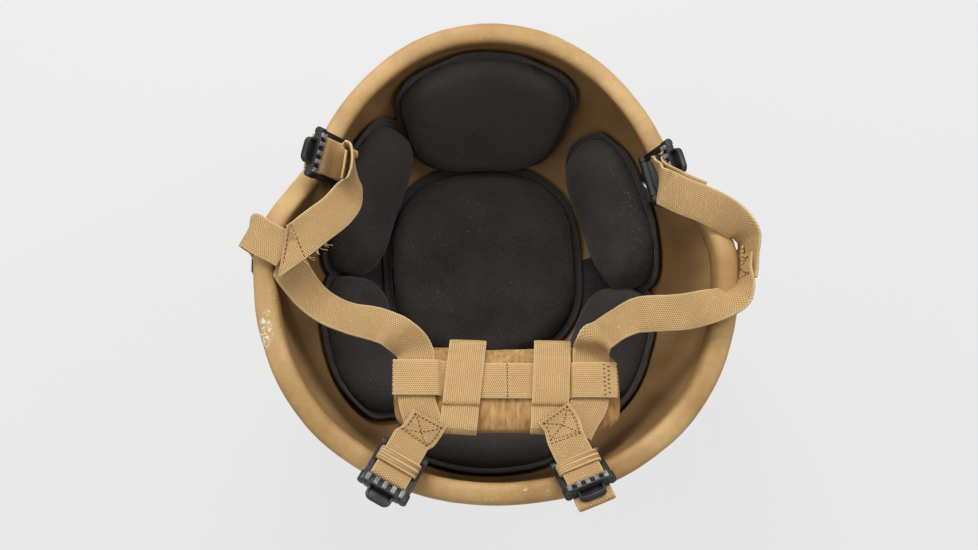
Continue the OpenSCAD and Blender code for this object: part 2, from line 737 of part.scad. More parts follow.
// Elastic keepers round the rear straps, just inside the hinges
keeper_len = 5;
keeper_wall = 0.9;
module keeper(m) {
    slot_w = strap_w + 2 * layer_gap;
    slot_t = strap_t + 2 * layer_gap;
    color(webbing_color) at_mount(m)
        translate([hinge_x, 0, hinge_rise]) rotate([0, 0, m[3]]) rotate([0, -rear_slope, 0])
        translate([rear_end + 3.2, 0, 0]) difference() {
            cube([keeper_len, slot_w + 2 * keeper_wall, slot_t + 2 * keeper_wall], center = true);
            cube([2 * keeper_len, slot_w, slot_t], center = true);
        }
}
module rear_right_keeper() { keeper(REAR_RIGHT); }
module rear_left_keeper() { keeper(REAR_LEFT); }

// Flat cushions: rings in from the edge, with heights above the plane of the upper face
function cushion_edge(w, h, power, a) =
    let(s = pow(pow(abs(cos(a)) * 2 / w, power) + pow(abs(sin(a)) * 2 / h, power), -1 / power))
    [s * cos(a), s * sin(a)];
function cushion_ring(w, h, power, steps, back) = [
    for (i = [0 : steps - 1])
        let(e = cushion_edge(w, h, power, 360 * i / steps))
        e * max(0.05, 1 - back / norm(e))
];
module nape_pad() {
    t = nape_pad_t;
    profile = [
        [16, -0.1], [7, -0.6], [2.5, -t * 0.2], [0.6, -t * 0.36], [0, -t * 0.5],
        [0.8, -t * 0.68], [4, -t * 0.88], [14, -t]
    ];
    rings = [
        for (s = profile)
            [for (e = cushion_ring(nape_pad_w, nape_pad_h, 6, pad_steps, s[0])) nape(e.x, e.y, s[1])]
    ];
    color(suede_color) translate(from_axis) ring_solid(nape(0, 0, 0), rings, nape(0, 0, -t));
}

// Bands woven on the nape pad: the upright ones pass over the cross band
cross_v = 3;
right_u = -23.5;
left_u = 24;
band_slant = 3;
under_run = strap_w / 2 + 4.3;
over_run = strap_w / 2 + 1.2;
module nape_cross_band() {
    ribbon([
        nape_strap(-nape_pad_w / 2 + 0.5, cross_v + 1, layer_2, 0, -10),
        nape_strap(right_u - under_run - 2, cross_v + 1, layer_2, 0, -10),
        nape_strap(right_u - under_run, cross_v + 1, layer_2, 0, -10),
        nape_strap(right_u - over_run, cross_v + 1, layer_1, 0, -10),
        nape_strap(right_u, cross_v, layer_1, 0, -10),
        nape_strap(left_u, cross_v, layer_1, 0, -10),
        nape_strap(left_u + over_run, cross_v, layer_1, 0, -10),
        nape_strap(left_u + under_run, cross_v, layer_2, 0, -10),
        nape_strap(nape_pad_w / 2 - 2.5, cross_v, layer_2, 0, -10)
    ], 2);
}
module upright_band(u, slant) {
    high = cross_v + strap_w / 2 + 1;
    low = cross_v - strap_w / 2 - 1;
    ribbon([
        for (s = [
            [nape_pad_h / 2 - 2, layer_1], [high + 4, layer_1], [high, layer_2],
            [low, layer_2], [low - 4, layer_1], [4 - nape_pad_h / 2, layer_1]
        ])
            nape_strap(u + slant * s[0] / nape_pad_h, s[0], s[1], -10, 0)
    ], 2);
}
module nape_right_band() { upright_band(right_u, band_slant); }
module nape_left_band() { upright_band(left_u, band_slant); }

// Chin strap halves: over the rim at the ears, then hanging free outside the shell
hang_right = [-132, 2.5, 0];
hang_left = [133, -10.5, 0];
release_place = from_axis + spread(hang_right);
clip_place = from_axis + spread(hang_left);
release_top = 138;
release_h = 24;
release_t = 8;
clip_top = 52;
loop_h = 9;
chin_right_route = [
    [-111, -6.5, 171.9, -6, -19, 1.5],
    [-119, -3.5, 171.9, -7, -18.5, 2.4],
    [-127, -0.5, 172, -8, -18, 2.4],
    [-132.3, 2.8, 171.6, -8, -18, 2],
    [-134.3, 5, 169.5, -7, -18.5, 0.5],
    [-134.8, 5.4, 164, -4, -19.4, 0],
    [-134.4, 4.8, 157, 0, -20, 0],
    [-132.6, 3, 147, 0, -20, 0],
    [hang_right.x, hang_right.y, release_top + 1, 0, -20, 0],
    [hang_right.x, hang_right.y, release_top - loop_h + 3, 0, -20, 0]
];
chin_left_route = [
    [hang_left.x, hang_left.y, 169.5, 0, 20, 0],
    [hang_left.x, hang_left.y, 150, 0, 20, 0],
    [hang_left.x, hang_left.y, 90, 0, 20, 0],
    [hang_left.x, hang_left.y, clip_top - loop_h + 3, 0, 20, 0]
];
module chin_right_strap() { ribbon(chin_right_route, 2); }
module chin_left_strap() { ribbon(chin_left_route, 2); }

// Webbing loop at the top of each release half: width along x, thickness along y
module webbing_loop() {
    difference() {
        translate([-release_w / 2, -2.5, -loop_h]) cube([release_w, 5, loop_h + 1]);
        translate([-strap_w / 2 - layer_gap, -5, -loop_h + 2.6])
            cube([strap_w + 2 * layer_gap, 10, loop_h - 5]);
        translate([-strap_w / 2 - layer_gap, -strap_t / 2 - layer_gap, -loop_h + 2.6])
            cube([strap_w + 2 * layer_gap, strap_t + 2 * layer_gap, loop_h]);
    }
}
module release_socket() {
    color(plastic_color) translate(release_place + [0, 0, release_top]) rotate([0, 0, 90]) {
        webbing_loop();
        translate([0, 0, -loop_h - release_h]) difference() {
            translate([-release_w / 2, -release_t / 2, 0]) cube([release_w, release_t, release_h + 1]);
            translate([-release_w / 2 + 2.5, -release_t / 2 + 1.8, -1])
                cube([release_w - 5, release_t - 3.6, release_h - 1]);
            for (side = [-1, 1])
                translate([side * release_w / 2, 0, release_h * 0.45])
                    cube([8, 2 * release_t, 9], center = true);
        }
    }
}
module release_clip() {
    prong_t = 4;
    color(plastic_color) translate(clip_place + [0, 0, clip_top]) rotate([0, 0, 90]) {
        webbing_loop();
        translate([-1.6, -1.6, -loop_h - 20]) cube([3.2, 3.2, 21]);
        for (side = [-1, 1]) {
            translate([side * 9.5 - 1.3, -prong_t / 2, -loop_h - 20]) cube([2.6, prong_t, 21]);
            translate([side * 11 - 1.6, -prong_t / 2, -loop_h - 20]) cube([3.2, prong_t, 8]);
        }
    }
}
chin_cup_mid = 95;
module chin_cup() {
    t = chin_cup_t;
    profile = [
        [12, t], [5, t * 0.92], [1.6, t * 0.75], [0, t * 0.45], [0.8, t * 0.12], [6, 0]
    ];
    base = clip_place + [strap_t / 2 + layer_gap, 0, chin_cup_mid];
    rings = [
        for (s = profile)
            [for (e = cushion_ring(chin_cup_w, chin_cup_h, 3, 24, s[0])) base + [s[1], e.x, e.y]]
    ];
    color(suede_color) ring_solid(base + [t, 0, 0], rings, base);
}

shell();
edge_trim();
hook_discs();
crown_pad();
front_pad();
rear_pad();
front_right_pad();
front_left_pad();
rear_right_pad();
rear_left_pad();
mount_screws();
post_nuts();
front_right_bracket();
front_left_bracket();
rear_right_bracket();
rear_left_bracket();
front_right_pin();
front_left_pin();
rear_right_pin();
rear_left_pin();
front_right_buckle();
front_left_buckle();
rear_right_buckle();
rear_left_buckle();
front_right_strap_end();
front_left_strap_end();
rear_right_strap_end();
rear_left_strap_end();
front_right_strap();
front_left_strap();
side_right_strap();
side_left_strap();
rear_right_strap();
rear_left_strap();
rear_right_keeper();
rear_left_keeper();
nape_pad();
nape_cross_band();
nape_right_band();
nape_left_band();
chin_right_strap();
chin_left_strap();
release_socket();
release_clip();
chin_cup();
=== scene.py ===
# Combat helmet upturned on its crown, brow towards +Y. Sizes below are millimetres on the
# shell's own axis; placed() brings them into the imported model's frame, in metres.
import math

import bmesh
import bpy
import numpy as np
from mathutils import Matrix, Vector


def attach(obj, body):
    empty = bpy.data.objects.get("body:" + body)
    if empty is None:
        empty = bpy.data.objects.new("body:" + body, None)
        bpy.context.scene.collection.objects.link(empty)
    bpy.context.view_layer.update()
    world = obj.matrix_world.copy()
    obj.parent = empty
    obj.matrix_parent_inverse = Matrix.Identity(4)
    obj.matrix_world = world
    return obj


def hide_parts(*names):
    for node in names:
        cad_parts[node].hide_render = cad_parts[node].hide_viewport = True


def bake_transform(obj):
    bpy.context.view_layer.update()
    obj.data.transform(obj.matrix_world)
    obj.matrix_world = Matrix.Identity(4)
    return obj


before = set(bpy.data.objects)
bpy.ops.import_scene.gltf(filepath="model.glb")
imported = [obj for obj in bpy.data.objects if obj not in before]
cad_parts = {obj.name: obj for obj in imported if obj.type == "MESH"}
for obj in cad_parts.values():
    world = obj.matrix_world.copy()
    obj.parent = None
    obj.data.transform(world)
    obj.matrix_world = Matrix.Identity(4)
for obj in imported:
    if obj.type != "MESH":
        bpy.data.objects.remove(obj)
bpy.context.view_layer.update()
scene = bpy.context.scene
mm = 0.001
fromAxis = np.array([-1.9, 2.5, 0.0])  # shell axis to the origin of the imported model
helmetBody = "helmet"


def placed(points):
    return (np.asarray(points, float) + fromAxis) * mm


def srgb(red, green, blue):
    values = [c / 255 for c in (red, green, blue)]
    return [c / 12.92 if c < 0.04045 else ((c + 0.055) / 1.055) ** 2.4 for c in values]


# Node trees: a Wire is a socket that takes plain arithmetic
class Wire:
    def __init__(self, tree, socket):
        self.tree = tree
        self.socket = socket

    def math(self, operation, *others):
        return mathNode(self.tree, operation, self, *others)

    def __add__(self, other):
        return self.math("ADD", other)

    def __radd__(self, other):
        return self.math("ADD", other)

    def __sub__(self, other):
        return self.math("SUBTRACT", other)

    def __rsub__(self, other):
        return mathNode(self.tree, "SUBTRACT", other, self)

    def __mul__(self, other):
        return self.math("MULTIPLY", other)

    def __rmul__(self, other):
        return self.math("MULTIPLY", other)

    def __truediv__(self, other):
        return self.math("DIVIDE", other)

    def __rtruediv__(self, other):
        return mathNode(self.tree, "DIVIDE", other, self)


def plug(tree, socket, value):
    if isinstance(value, Wire):
        tree.links.new(value.socket, socket)
    else:
        socket.default_value = value


def mathNode(tree, operation, *values):
    node = tree.nodes.new("ShaderNodeMath")
    node.operation = operation
    for place, value in enumerate(values):
        plug(tree, node.inputs[place], value)
    return Wire(tree, node.outputs[0])


def addNode(tree, kind, inputs=None, **settings):
    node = tree.nodes.new(kind)
    for key, value in settings.items():
        setattr(node, key, value)
    for key, value in (inputs or {}).items():
        plug(tree, node.inputs[key], value)
    return node


def outOf(node, key=0):
    return Wire(node.id_data, node.outputs[key])


# Arithmetic that works on numbers, arrays and wires
def cosine(angle):
    if isinstance(angle, Wire):
        return (angle * (math.pi / 180)).math("COSINE")
    return np.cos(np.radians(angle))


def sine(angle):
    if isinstance(angle, Wire):
        return (angle * (math.pi / 180)).math("SINE")
    return np.sin(np.radians(angle))


def atLeast(value, low):
    return value.math("MAXIMUM", low) if isinstance(value, Wire) else np.maximum(value, low)


def atMost(value, high):
    return value.math("MINIMUM", high) if isinstance(value, Wire) else np.minimum(value, high)


def unsigned(value):
    return value.math("ABSOLUTE") if isinstance(value, Wire) else np.abs(value)


def power(base, exponent):
    base = atLeast(base, 0.0)
    return base.math("POWER", exponent) if isinstance(base, Wire) else base**exponent


def ease(value):
    u = atMost(atLeast(value, 0.0), 1.0)
    return u * u * (3 - u * 2)


# The rule of the shell, by azimuth from the brow (-180 to 180) and height above the crown
shellSizes = {
    "Length": 269.0, "Width": 230.0, "Brow Lead": 3.0, "Temple Waist": 2.7, "Wall": 7.6,
    "Belt Height": 115.0, "Dome Power": 2.2, "Ear Flare": 14.0, "Flare Height": 70.0,
    "Brow Rim": 128.0, "Ear Rim": 168.0, "Nape Rim": 158.0,
}  # fmt: skip
shellTurns = {
    "browEnds": 60, "earStarts": 94, "earEnds": 115, "napeStarts": 165, "flareStarts": 58,
    "flareFull": 96, "flareFades": 120, "napeLoss": 0.62,
}  # azimuths in degrees, and the share of the flare that the nape loses  # fmt: skip


def ramp(azimuth, first, last):
    return ease((unsigned(azimuth) - first) / (last - first))


def planRadius(s, azimuth):
    mean = (s["Length"] + s["Width"]) / 4
    oval = (s["Length"] - s["Width"]) / 4
    shift = s["Brow Lead"] / 2 - s["Temple Waist"]
    waist = s["Temple Waist"] * cosine(azimuth * 3)
    return mean + shift * cosine(azimuth) + oval * cosine(azimuth * 2) + waist


def rimHeight(s, azimuth):
    t = shellTurns
    rise = (s["Ear Rim"] - s["Brow Rim"]) * ramp(azimuth, t["browEnds"], t["earStarts"])
    fall = (s["Ear Rim"] - s["Nape Rim"]) * ramp(azimuth, t["earEnds"], t["napeStarts"])
    return s["Brow Rim"] + rise - fall


def wallRadius(s, azimuth, height):
    t = shellTurns
    fade = 1 - ramp(azimuth, t["flareFades"], 180) * t["napeLoss"]
    flare = s["Ear Flare"] * ramp(azimuth, t["flareStarts"], t["flareFull"]) * fade
    up = (height - s["Flare Height"]) / (rimHeight(s, azimuth) - s["Flare Height"])
    return planRadius(s, azimuth) + flare * power(atMost(up, 1.2), 2)


def skinRadius(s, azimuth, height, inset):
    drop = atLeast(s["Belt Height"] - height, 0.0) / (s["Belt Height"] - inset)
    dome = power(1 - power(drop, s["Dome Power"]), 1 / s["Dome Power"])
    return (wallRadius(s, azimuth, height) - inset) * dome


def skin(azimuth, height, inset):
    radius = skinRadius(shellSizes, azimuth, height, inset)
    return np.stack([radius * sine(azimuth), radius * cosine(azimuth), height + radius * 0], -1)


def rimAt(azimuth):
    return skin(azimuth, rimHeight(shellSizes, azimuth), 0.0)


def onWall(directions, inset):
    s = shellSizes
    reach = np.full(len(directions), 110.0)
    for _ in range(8):
        p = directions * reach[:, None]
        azimuth = np.degrees(np.arctan2(p[:, 0], p[:, 1]))
        wall = wallRadius(s, azimuth, p[:, 2] + s["Belt Height"]) - inset
        drop = np.maximum(0, -p[:, 2]) / (s["Belt Height"] - inset)
        level = (np.hypot(p[:, 0], p[:, 1]) / wall) ** s["Dome Power"] + drop ** s["Dome Power"]
        reach = reach / level ** (1 / s["Dome Power"])
    return directions * reach[:, None] + np.array([0, 0, s["Belt Height"]])


def unit(vector):
    vector = np.asarray(vector, float)
    return vector / np.linalg.norm(vector, axis=-1, keepdims=True)


def softNoise(points, scale, seed, waves=14):
    rng = np.random.default_rng(seed)
    total = np.zeros(len(points))
    for _ in range(waves):
        direction = unit(rng.normal(size=3)) * rng.uniform(0.6, 1.7) * 2 * math.pi / scale
        total += np.sin(points @ direction + rng.uniform(0, 6.28))
    return total / math.sqrt(waves)


# Meshes and geometry trees
def shadeSmooth(mesh, smooth=True):
    mesh.polygons.foreach_set("use_smooth", [smooth] * len(mesh.polygons))


def pointsOf(mesh):
    return np.array([v.co for v in mesh.vertices])


def setPoints(mesh, points):
    mesh.vertices.foreach_set("co", points.ravel())
    mesh.update()


def makeMesh(name, points, faces, materials=(), smooth=True):
    mesh = bpy.data.meshes.new(name)
    mesh.from_pydata(np.asarray(points, float).tolist(), [], [list(map(int, f)) for f in faces])
    for material in materials:
        mesh.materials.append(material)
    shadeSmooth(mesh, smooth)
    mesh.update()
    return mesh


def makeObject(name, mesh):
    piece = bpy.data.objects.new(name, mesh)
    scene.collection.objects.link(piece)
    return piece


def faceOutwards(mesh):
    work = bmesh.new()
    work.from_mesh(mesh)
    bmesh.ops.recalc_face_normals(work, faces=work.faces)
    work.to_mesh(mesh)
    work.free()
    mesh.update()


def meshNow(piece):
    graph = bpy.context.evaluated_depsgraph_get()
    return bpy.data.meshes.new_from_object(piece.evaluated_get(graph), depsgraph=graph)


def settleModifiers(piece):
    mesh = meshNow(piece)
    piece.modifiers.clear()
    piece.data = mesh


def addBevel(piece, width, segments, angle):
    bevel = piece.modifiers.new("edges", "BEVEL")
    bevel.width = width
    bevel.segments = segments
    bevel.limit_method = "ANGLE"
    bevel.angle_limit = math.radians(angle)


def newTree(name, inputs):
    tree = bpy.data.node_groups.new(name, "GeometryNodeTree")
    kinds = {float: "NodeSocketFloat", int: "NodeSocketInt", tuple: "NodeSocketVector"}
    tree.interface.new_socket("Geometry", in_out="INPUT", socket_type="NodeSocketGeometry")
    for label, value in inputs.items():
        kind = "NodeSocketMaterial" if value is None else kinds[type(value)]
        socket = tree.interface.new_socket(label, in_out="INPUT", socket_type=kind)
        if value is not None:
            socket.default_value = value
    tree.interface.new_socket("Geometry", in_out="OUTPUT", socket_type="NodeSocketGeometry")
    groupIn = tree.nodes.new("NodeGroupInput")
    wires = {label: Wire(tree, groupIn.outputs[label]) for label in ("Geometry", *inputs)}
    return tree, wires


def closeTree(tree, geometry, material):
    real = addNode(tree, "GeometryNodeRealizeInstances", {"Geometry": geometry})
    finish = addNode(
        tree, "GeometryNodeSetMaterial", {"Geometry": outOf(real), "Material": material}
    )
    tree.links.new(finish.outputs[0], tree.nodes.new("NodeGroupOutput").inputs[0])


def growMesh(name, tree, values, source=None):
    holder = makeObject(name + "Holder", source or bpy.data.meshes.new(name))
    modifier = holder.modifiers.new("grow", "NODES")
    modifier.node_group = tree
    sockets = {
        item.name: item.identifier
        for item in tree.interface.items_tree
        if item.item_type == "SOCKET" and item.in_out == "INPUT"
    }
    for label, value in values.items():
        modifier[sockets[label]] = value
    mesh = meshNow(holder)
    mesh.name = name
    bpy.data.objects.remove(holder)
    return mesh


def joinMeshes(name, parts):
    materials = []
    work = bmesh.new()
    for mesh, matrix in parts:
        slots = [materials.index(m) if m in materials else -1 for m in mesh.materials]
        for place, material in enumerate(mesh.materials):
            if slots[place] < 0:
                materials.append(material)
                slots[place] = len(materials) - 1
        first = len(work.faces)
        copy = mesh.copy()
        if matrix is not None:
            copy.transform(matrix)
        work.from_mesh(copy)
        work.faces.ensure_lookup_table()
        for face in work.faces[first:]:
            face.material_index = slots[face.material_index] if slots else 0
        bpy.data.meshes.remove(copy)
    joined = bpy.data.meshes.new(name)
    work.to_mesh(joined)
    work.free()
    for material in materials:
        joined.materials.append(material)
    return joined


# Materials
def newMaterial(name, **sockets):
    material = bpy.data.materials.new(name)
    material.use_nodes = True
    tree = material.node_tree
    shader = tree.nodes["Principled BSDF"]
    for key, value in sockets.items():
        label = key.replace("_", " ")
        shader.inputs[label].default_value = value
    return material, tree, shader


def objectPoints(tree):
    return outOf(tree.nodes.new("ShaderNodeTexCoord"), "Object")


def noiseWire(tree, points, scale, detail=3.0, roughness=0.55):
    inputs = {"Vector": points, "Scale": scale, "Detail": detail, "Roughness": roughness}
    return outOf(addNode(tree, "ShaderNodeTexNoise", inputs))


def spread(value, low, high):
    return atMost(atLeast((value - low) / (high - low), 0.0), 1.0)


def mixColours(tree, factor, first, second):
    node = addNode(tree, "ShaderNodeMix", data_type="RGBA")
    plug(tree, node.inputs[0], factor)
    for place, value in ((6, first), (7, second)):
        plug(tree, node.inputs[place], value if isinstance(value, Wire) else (*value, 1.0))
    return outOf(node, 2)


def bumpNormal(tree, shader, height, distance, strength):
    inputs = {"Height": height, "Distance": distance * mm, "Strength": strength}
    plug(tree, shader.inputs["Normal"], outOf(addNode(tree, "ShaderNodeBump", inputs)))


shellTones = {
    "outerDark": srgb(176, 141, 96), "outerPale": srgb(196, 162, 114),
    # innerDark and innerPale are a darker copy of the outer paint: partly painted shade for the
    # inside of the bowl, partly a darker tone
    "innerDark": srgb(150, 116, 74), "innerPale": srgb(170, 134, 88),
    # innerShadeStreak is painted shade: the dark streaks on the inner wall stand for streaks of
    # light and shade falling on it
    "innerShadeStreak": srgb(104, 76, 45), "speck": srgb(205, 172, 122),
}  # fmt: skip


def shellPaint():
    material, tree, shader = newMaterial("shellPaint", Roughness=0.5, Specular_IOR_Level=0.35)
    points = objectPoints(tree)
    inside = outOf(addNode(tree, "ShaderNodeAttribute", attribute_name="inside"), "Fac")
    cloud = spread(noiseWire(tree, points, 18, 4), 0.35, 0.7)
    outer = mixColours(tree, cloud, shellTones["outerDark"], shellTones["outerPale"])
    # the inside gets the darker copy of the paint, partly painted shade and partly a darker tone
    inner = mixColours(tree, cloud, shellTones["innerDark"], shellTones["innerPale"])
    # painted light and shade: darker vertical streaks on the inner wall stand for the streaks of
    # light and shade on it
    drawn = addNode(tree, "ShaderNodeMapping", {"Vector": points, "Scale": (1.0, 1.0, 0.12)})
    shadeStreaks = spread(noiseWire(tree, outOf(drawn), 34, 2, 0.4), 0.36, 0.64)
    inner = mixColours(tree, shadeStreaks * 0.6, inner, shellTones["innerShadeStreak"])
    colour = mixColours(tree, inside, outer, inner)
    speck = spread(noiseWire(tree, points, 900, 2), 0.62, 0.72)
    colour = mixColours(tree, speck * 0.35, colour, shellTones["speck"])
    plug(tree, shader.inputs["Base Color"], colour)
    grain = noiseWire(tree, points, 700, 3) * (1.25 - inside) + noiseWire(tree, points, 90, 2) * 0.5
    bumpNormal(tree, shader, grain, 0.22, 0.6)
    return material


trimTones = {
    # side is painted shade: the darker tone for trim faces that turn away from above
    "dark": srgb(172, 132, 78), "pale": srgb(204, 167, 112), "side": srgb(152, 116, 72),
    "grime": srgb(158, 121, 74), "rubbed": srgb(244, 228, 198), "scuff": srgb(250, 240, 222),
}  # fmt: skip
scuffMark = {
    "at": (-123.5, -50, 172), "stretch": (2.6, 1.0, 0.6), "strong": 0.006, "gone": 0.012,
}  # the rubbed spot on the trim; strong and gone are metres from it  # fmt: skip


def trimRubber():
    material, tree, shader = newMaterial("trimRubber", Roughness=0.42, Specular_IOR_Level=0.45)
    points = objectPoints(tree)
    cloud = spread(noiseWire(tree, points, 26, 5, 0.6), 0.36, 0.68)
    colour = mixColours(tree, cloud, trimTones["dark"], trimTones["pale"])
    # painted shade: faces of the trim that turn away from above get the darker side tone
    facing = outOf(addNode(tree, "ShaderNodeNewGeometry"), "Normal")
    upward = outOf(addNode(tree, "ShaderNodeSeparateXYZ", {"Vector": facing}), "Z")
    colour = mixColours(tree, spread(upward, 0.05, 0.45), trimTones["side"], colour)
    grime = spread(noiseWire(tree, points, 260, 4, 0.7), 0.55, 0.75)
    colour = mixColours(tree, grime * 0.4, colour, trimTones["grime"])
    pale = spread(noiseWire(tree, points, 420, 3), 0.63, 0.74)
    rubbed = spread(noiseWire(tree, points, 9, 2), 0.5, 0.62)
    colour = mixColours(tree, pale * rubbed * 0.75, colour, trimTones["rubbed"])
    stretch = scuffMark["stretch"]
    scuffSpace = addNode(tree, "ShaderNodeMapping", {"Vector": points, "Scale": stretch})
    scuffMiddle = tuple(c * k for c, k in zip(placed(scuffMark["at"]), stretch))
    away = addNode(
        tree, "ShaderNodeVectorMath", {0: outOf(scuffSpace), 1: scuffMiddle}, operation="DISTANCE"
    )
    near = spread(outOf(away, "Value") * -1, -scuffMark["gone"], -scuffMark["strong"])
    scuff = spread(noiseWire(tree, points, 520, 4, 0.7), 0.5, 0.6) * near
    colour = mixColours(tree, scuff * 0.9, colour, trimTones["scuff"])
    plug(tree, shader.inputs["Base Color"], colour)
    grain = noiseWire(tree, points, 900, 4, 0.7) + noiseWire(tree, points, 150, 2) * 0.6
    bumpNormal(tree, shader, grain, 0.4, 0.85)
    return material


# paintedLight is painted light: a paler tone laid on the pads towards the brow and the nape,
# standing for the brighter light on the front and rear pads
padTones = {
    "dark": srgb(40, 37, 36), "pale": srgb(61, 57, 55), "paintedLight": srgb(76, 73, 71),
    "pile": srgb(82, 76, 74), "lint": srgb(168, 150, 134),
}  # fmt: skip


def padFabric():
    material, tree, shader = newMaterial(
        "padFabric", Roughness=0.86, Specular_IOR_Level=0.18, Sheen_Weight=0.22,
        Sheen_Roughness=0.45, Sheen_Tint=(0.75, 0.72, 0.74, 1.0)
    )  # fmt: skip
    points = objectPoints(tree)
    cloud = spread(noiseWire(tree, points, 32, 4), 0.3, 0.7)
    colour = mixColours(tree, cloud, padTones["dark"], padTones["pale"])
    along = outOf(addNode(tree, "ShaderNodeSeparateXYZ", {"Vector": points}), "Y")
    # painted light: paler towards the brow and the nape, standing for the brighter light on the
    # front and rear pads
    paintedLight = spread(along * along, 0.0022, 0.0075)  # paler towards the brow and the nape
    colour = mixColours(tree, paintedLight * 0.55, colour, padTones["paintedLight"])
    pile = spread(noiseWire(tree, points, 1500, 3, 0.7), 0.42, 0.66)
    colour = mixColours(tree, pile * 0.55, colour, padTones["pile"])
    patch = spread(noiseWire(tree, points, 40, 2), 0.46, 0.6)
    lint = spread(noiseWire(tree, points, 1150, 1), 0.715, 0.76) * patch
    colour = mixColours(tree, lint * 0.8, colour, padTones["lint"])
    plug(tree, shader.inputs["Base Color"], colour)
    height = noiseWire(tree, points, 1500, 3, 0.7) + noiseWire(tree, points, 240, 3) * 0.8
    bumpNormal(tree, shader, height, 0.35, 0.75)
    return material


suedeTones = {"dark": srgb(150, 112, 66), "pale": srgb(206, 166, 110), "worn": srgb(168, 128, 78)}


def suedeHide():
    material, tree, shader = newMaterial(
        "napeSuede", Roughness=0.88, Specular_IOR_Level=0.15, Sheen_Weight=0.3,
        Sheen_Roughness=0.5, Sheen_Tint=(1.0, 0.86, 0.62, 1.0)
    )  # fmt: skip
    points = objectPoints(tree)
    streak = addNode(tree, "ShaderNodeMapping", {"Vector": points, "Scale": (1.0, 0.22, 1.0)})
    nap = noiseWire(tree, outOf(streak), 420, 4, 0.6)
    colour = mixColours(tree, spread(nap, 0.32, 0.7), suedeTones["dark"], suedeTones["pale"])
    worn = spread(noiseWire(tree, points, 36, 3), 0.45, 0.7)
    colour = mixColours(tree, worn * 0.45, colour, suedeTones["worn"])
    plug(tree, shader.inputs["Base Color"], colour)
    bumpNormal(tree, shader, nap + noiseWire(tree, points, 1300, 2) * 0.6, 0.3, 0.8)
    return material


webbing = {
    "width": 20.0, "thickness": 1.6, "pitch": 1.1, "step": 0.55, "weaveHeight": 0.11,
    "edgeThin": 0.4, "edgeRipple": 0.16, "rawEnd": 0.7,
}  # fmt: skip
webbingTones = {"dust": srgb(226, 200, 158), "selvedge": srgb(236, 208, 160)}


def wovenNylon(name, light, dark, pitchAlong=webbing["pitch"], pitchAcross=webbing["pitch"]):
    material, tree, shader = newMaterial(
        name, Roughness=0.62, Specular_IOR_Level=0.3, Sheen_Weight=0.12, Sheen_Roughness=0.4,
        Sheen_Tint=(1.0, 0.9, 0.7, 1.0)
    )  # fmt: skip
    weave = addNode(tree, "ShaderNodeUVMap", uv_map="weave")
    parts = addNode(tree, "ShaderNodeSeparateXYZ", {"Vector": outOf(weave)})
    column = mathNode(tree, "FLOOR", outOf(parts, "X") / pitchAcross + 0.5)
    across = cosine(outOf(parts, "X") * (360 / pitchAcross)) * 0.5 + 0.5
    along = cosine(outOf(parts, "Y") * (360 / pitchAlong) + column * 180) * 0.5 + 0.5
    yarn = power(across, 0.6) * power(along, 0.6)
    points = objectPoints(tree)
    fibre = noiseWire(tree, points, 2300, 2, 0.6)
    tone = spread(yarn * 0.8 + fibre * 0.4, 0.1, 0.85)
    cloud = spread(noiseWire(tree, points, 60, 4, 0.6), 0.34, 0.7)
    paler = [min(1.0, c * 1.16) for c in light]
    colour = mixColours(tree, tone, dark, mixColours(tree, cloud, light, paler))
    dust = spread(noiseWire(tree, points, 380, 3), 0.58, 0.75)
    colour = mixColours(tree, dust * 0.25, colour, webbingTones["dust"])
    selvedge = spread(unsigned(outOf(parts, "X")), 9.1, 9.7)
    colour = mixColours(tree, selvedge * 0.4, colour, webbingTones["selvedge"])
    plug(tree, shader.inputs["Base Color"], colour)
    bumpNormal(tree, shader, yarn + fibre * 0.35, 0.15, 0.85)
    return material


def threadMaterial(name, colour):
    material, tree, shader = newMaterial(name, Roughness=0.6, Specular_IOR_Level=0.3)
    twist = noiseWire(tree, objectPoints(tree), 2600, 2)
    twisted = mixColours(tree, twist, [c * 0.7 for c in colour], colour)
    plug(tree, shader.inputs["Base Color"], twisted)
    return material


def blackPlastic(name, dark, pale, roughness):
    material, tree, shader = newMaterial(name, Roughness=roughness, Specular_IOR_Level=0.5)
    points = objectPoints(tree)
    wear = spread(noiseWire(tree, points, 210, 5, 0.65), 0.42, 0.75)
    plug(tree, shader.inputs["Base Color"], mixColours(tree, wear, dark, pale))
    rough = spread(noiseWire(tree, points, 330, 3), 0.2, 0.8) * 0.22 + (roughness - 0.08)
    plug(tree, shader.inputs["Roughness"], rough)
    bumpNormal(tree, shader, noiseWire(tree, points, 1500, 2), 0.06, 0.5)
    return material


def metalMaterial(name, colour, roughness, metallic=1.0):
    material, tree, shader = newMaterial(name, Metallic=metallic)
    points = objectPoints(tree)
    scratch = noiseWire(tree, points, 900, 4, 0.7)
    scratched = mixColours(tree, scratch, [c * 0.75 for c in colour], colour)
    plug(tree, shader.inputs["Base Color"], scratched)
    plug(tree, shader.inputs["Roughness"], scratch * 0.25 + (roughness - 0.1))
    bumpNormal(tree, shader, scratch, 0.04, 0.5)
    return material


shellLook = shellPaint()
trimLook = trimRubber()
padLook = padFabric()
suedeLook = suedeHide()
webbingLook = wovenNylon("harnessWebbing", srgb(208, 172, 118), srgb(134, 100, 60))
napeWebbingLook = wovenNylon("napeWebbing", srgb(218, 182, 126), srgb(146, 110, 67))
elasticLook = wovenNylon("keeperElastic", srgb(208, 172, 120), srgb(126, 92, 54), 80.0, 1.65)
darkThread = threadMaterial("darkThread", srgb(92, 62, 36))
paleThread = threadMaterial("paleThread", srgb(232, 206, 156))
plasticLook = blackPlastic("buckleBlack", srgb(25, 24, 24), srgb(46, 45, 44), 0.36)
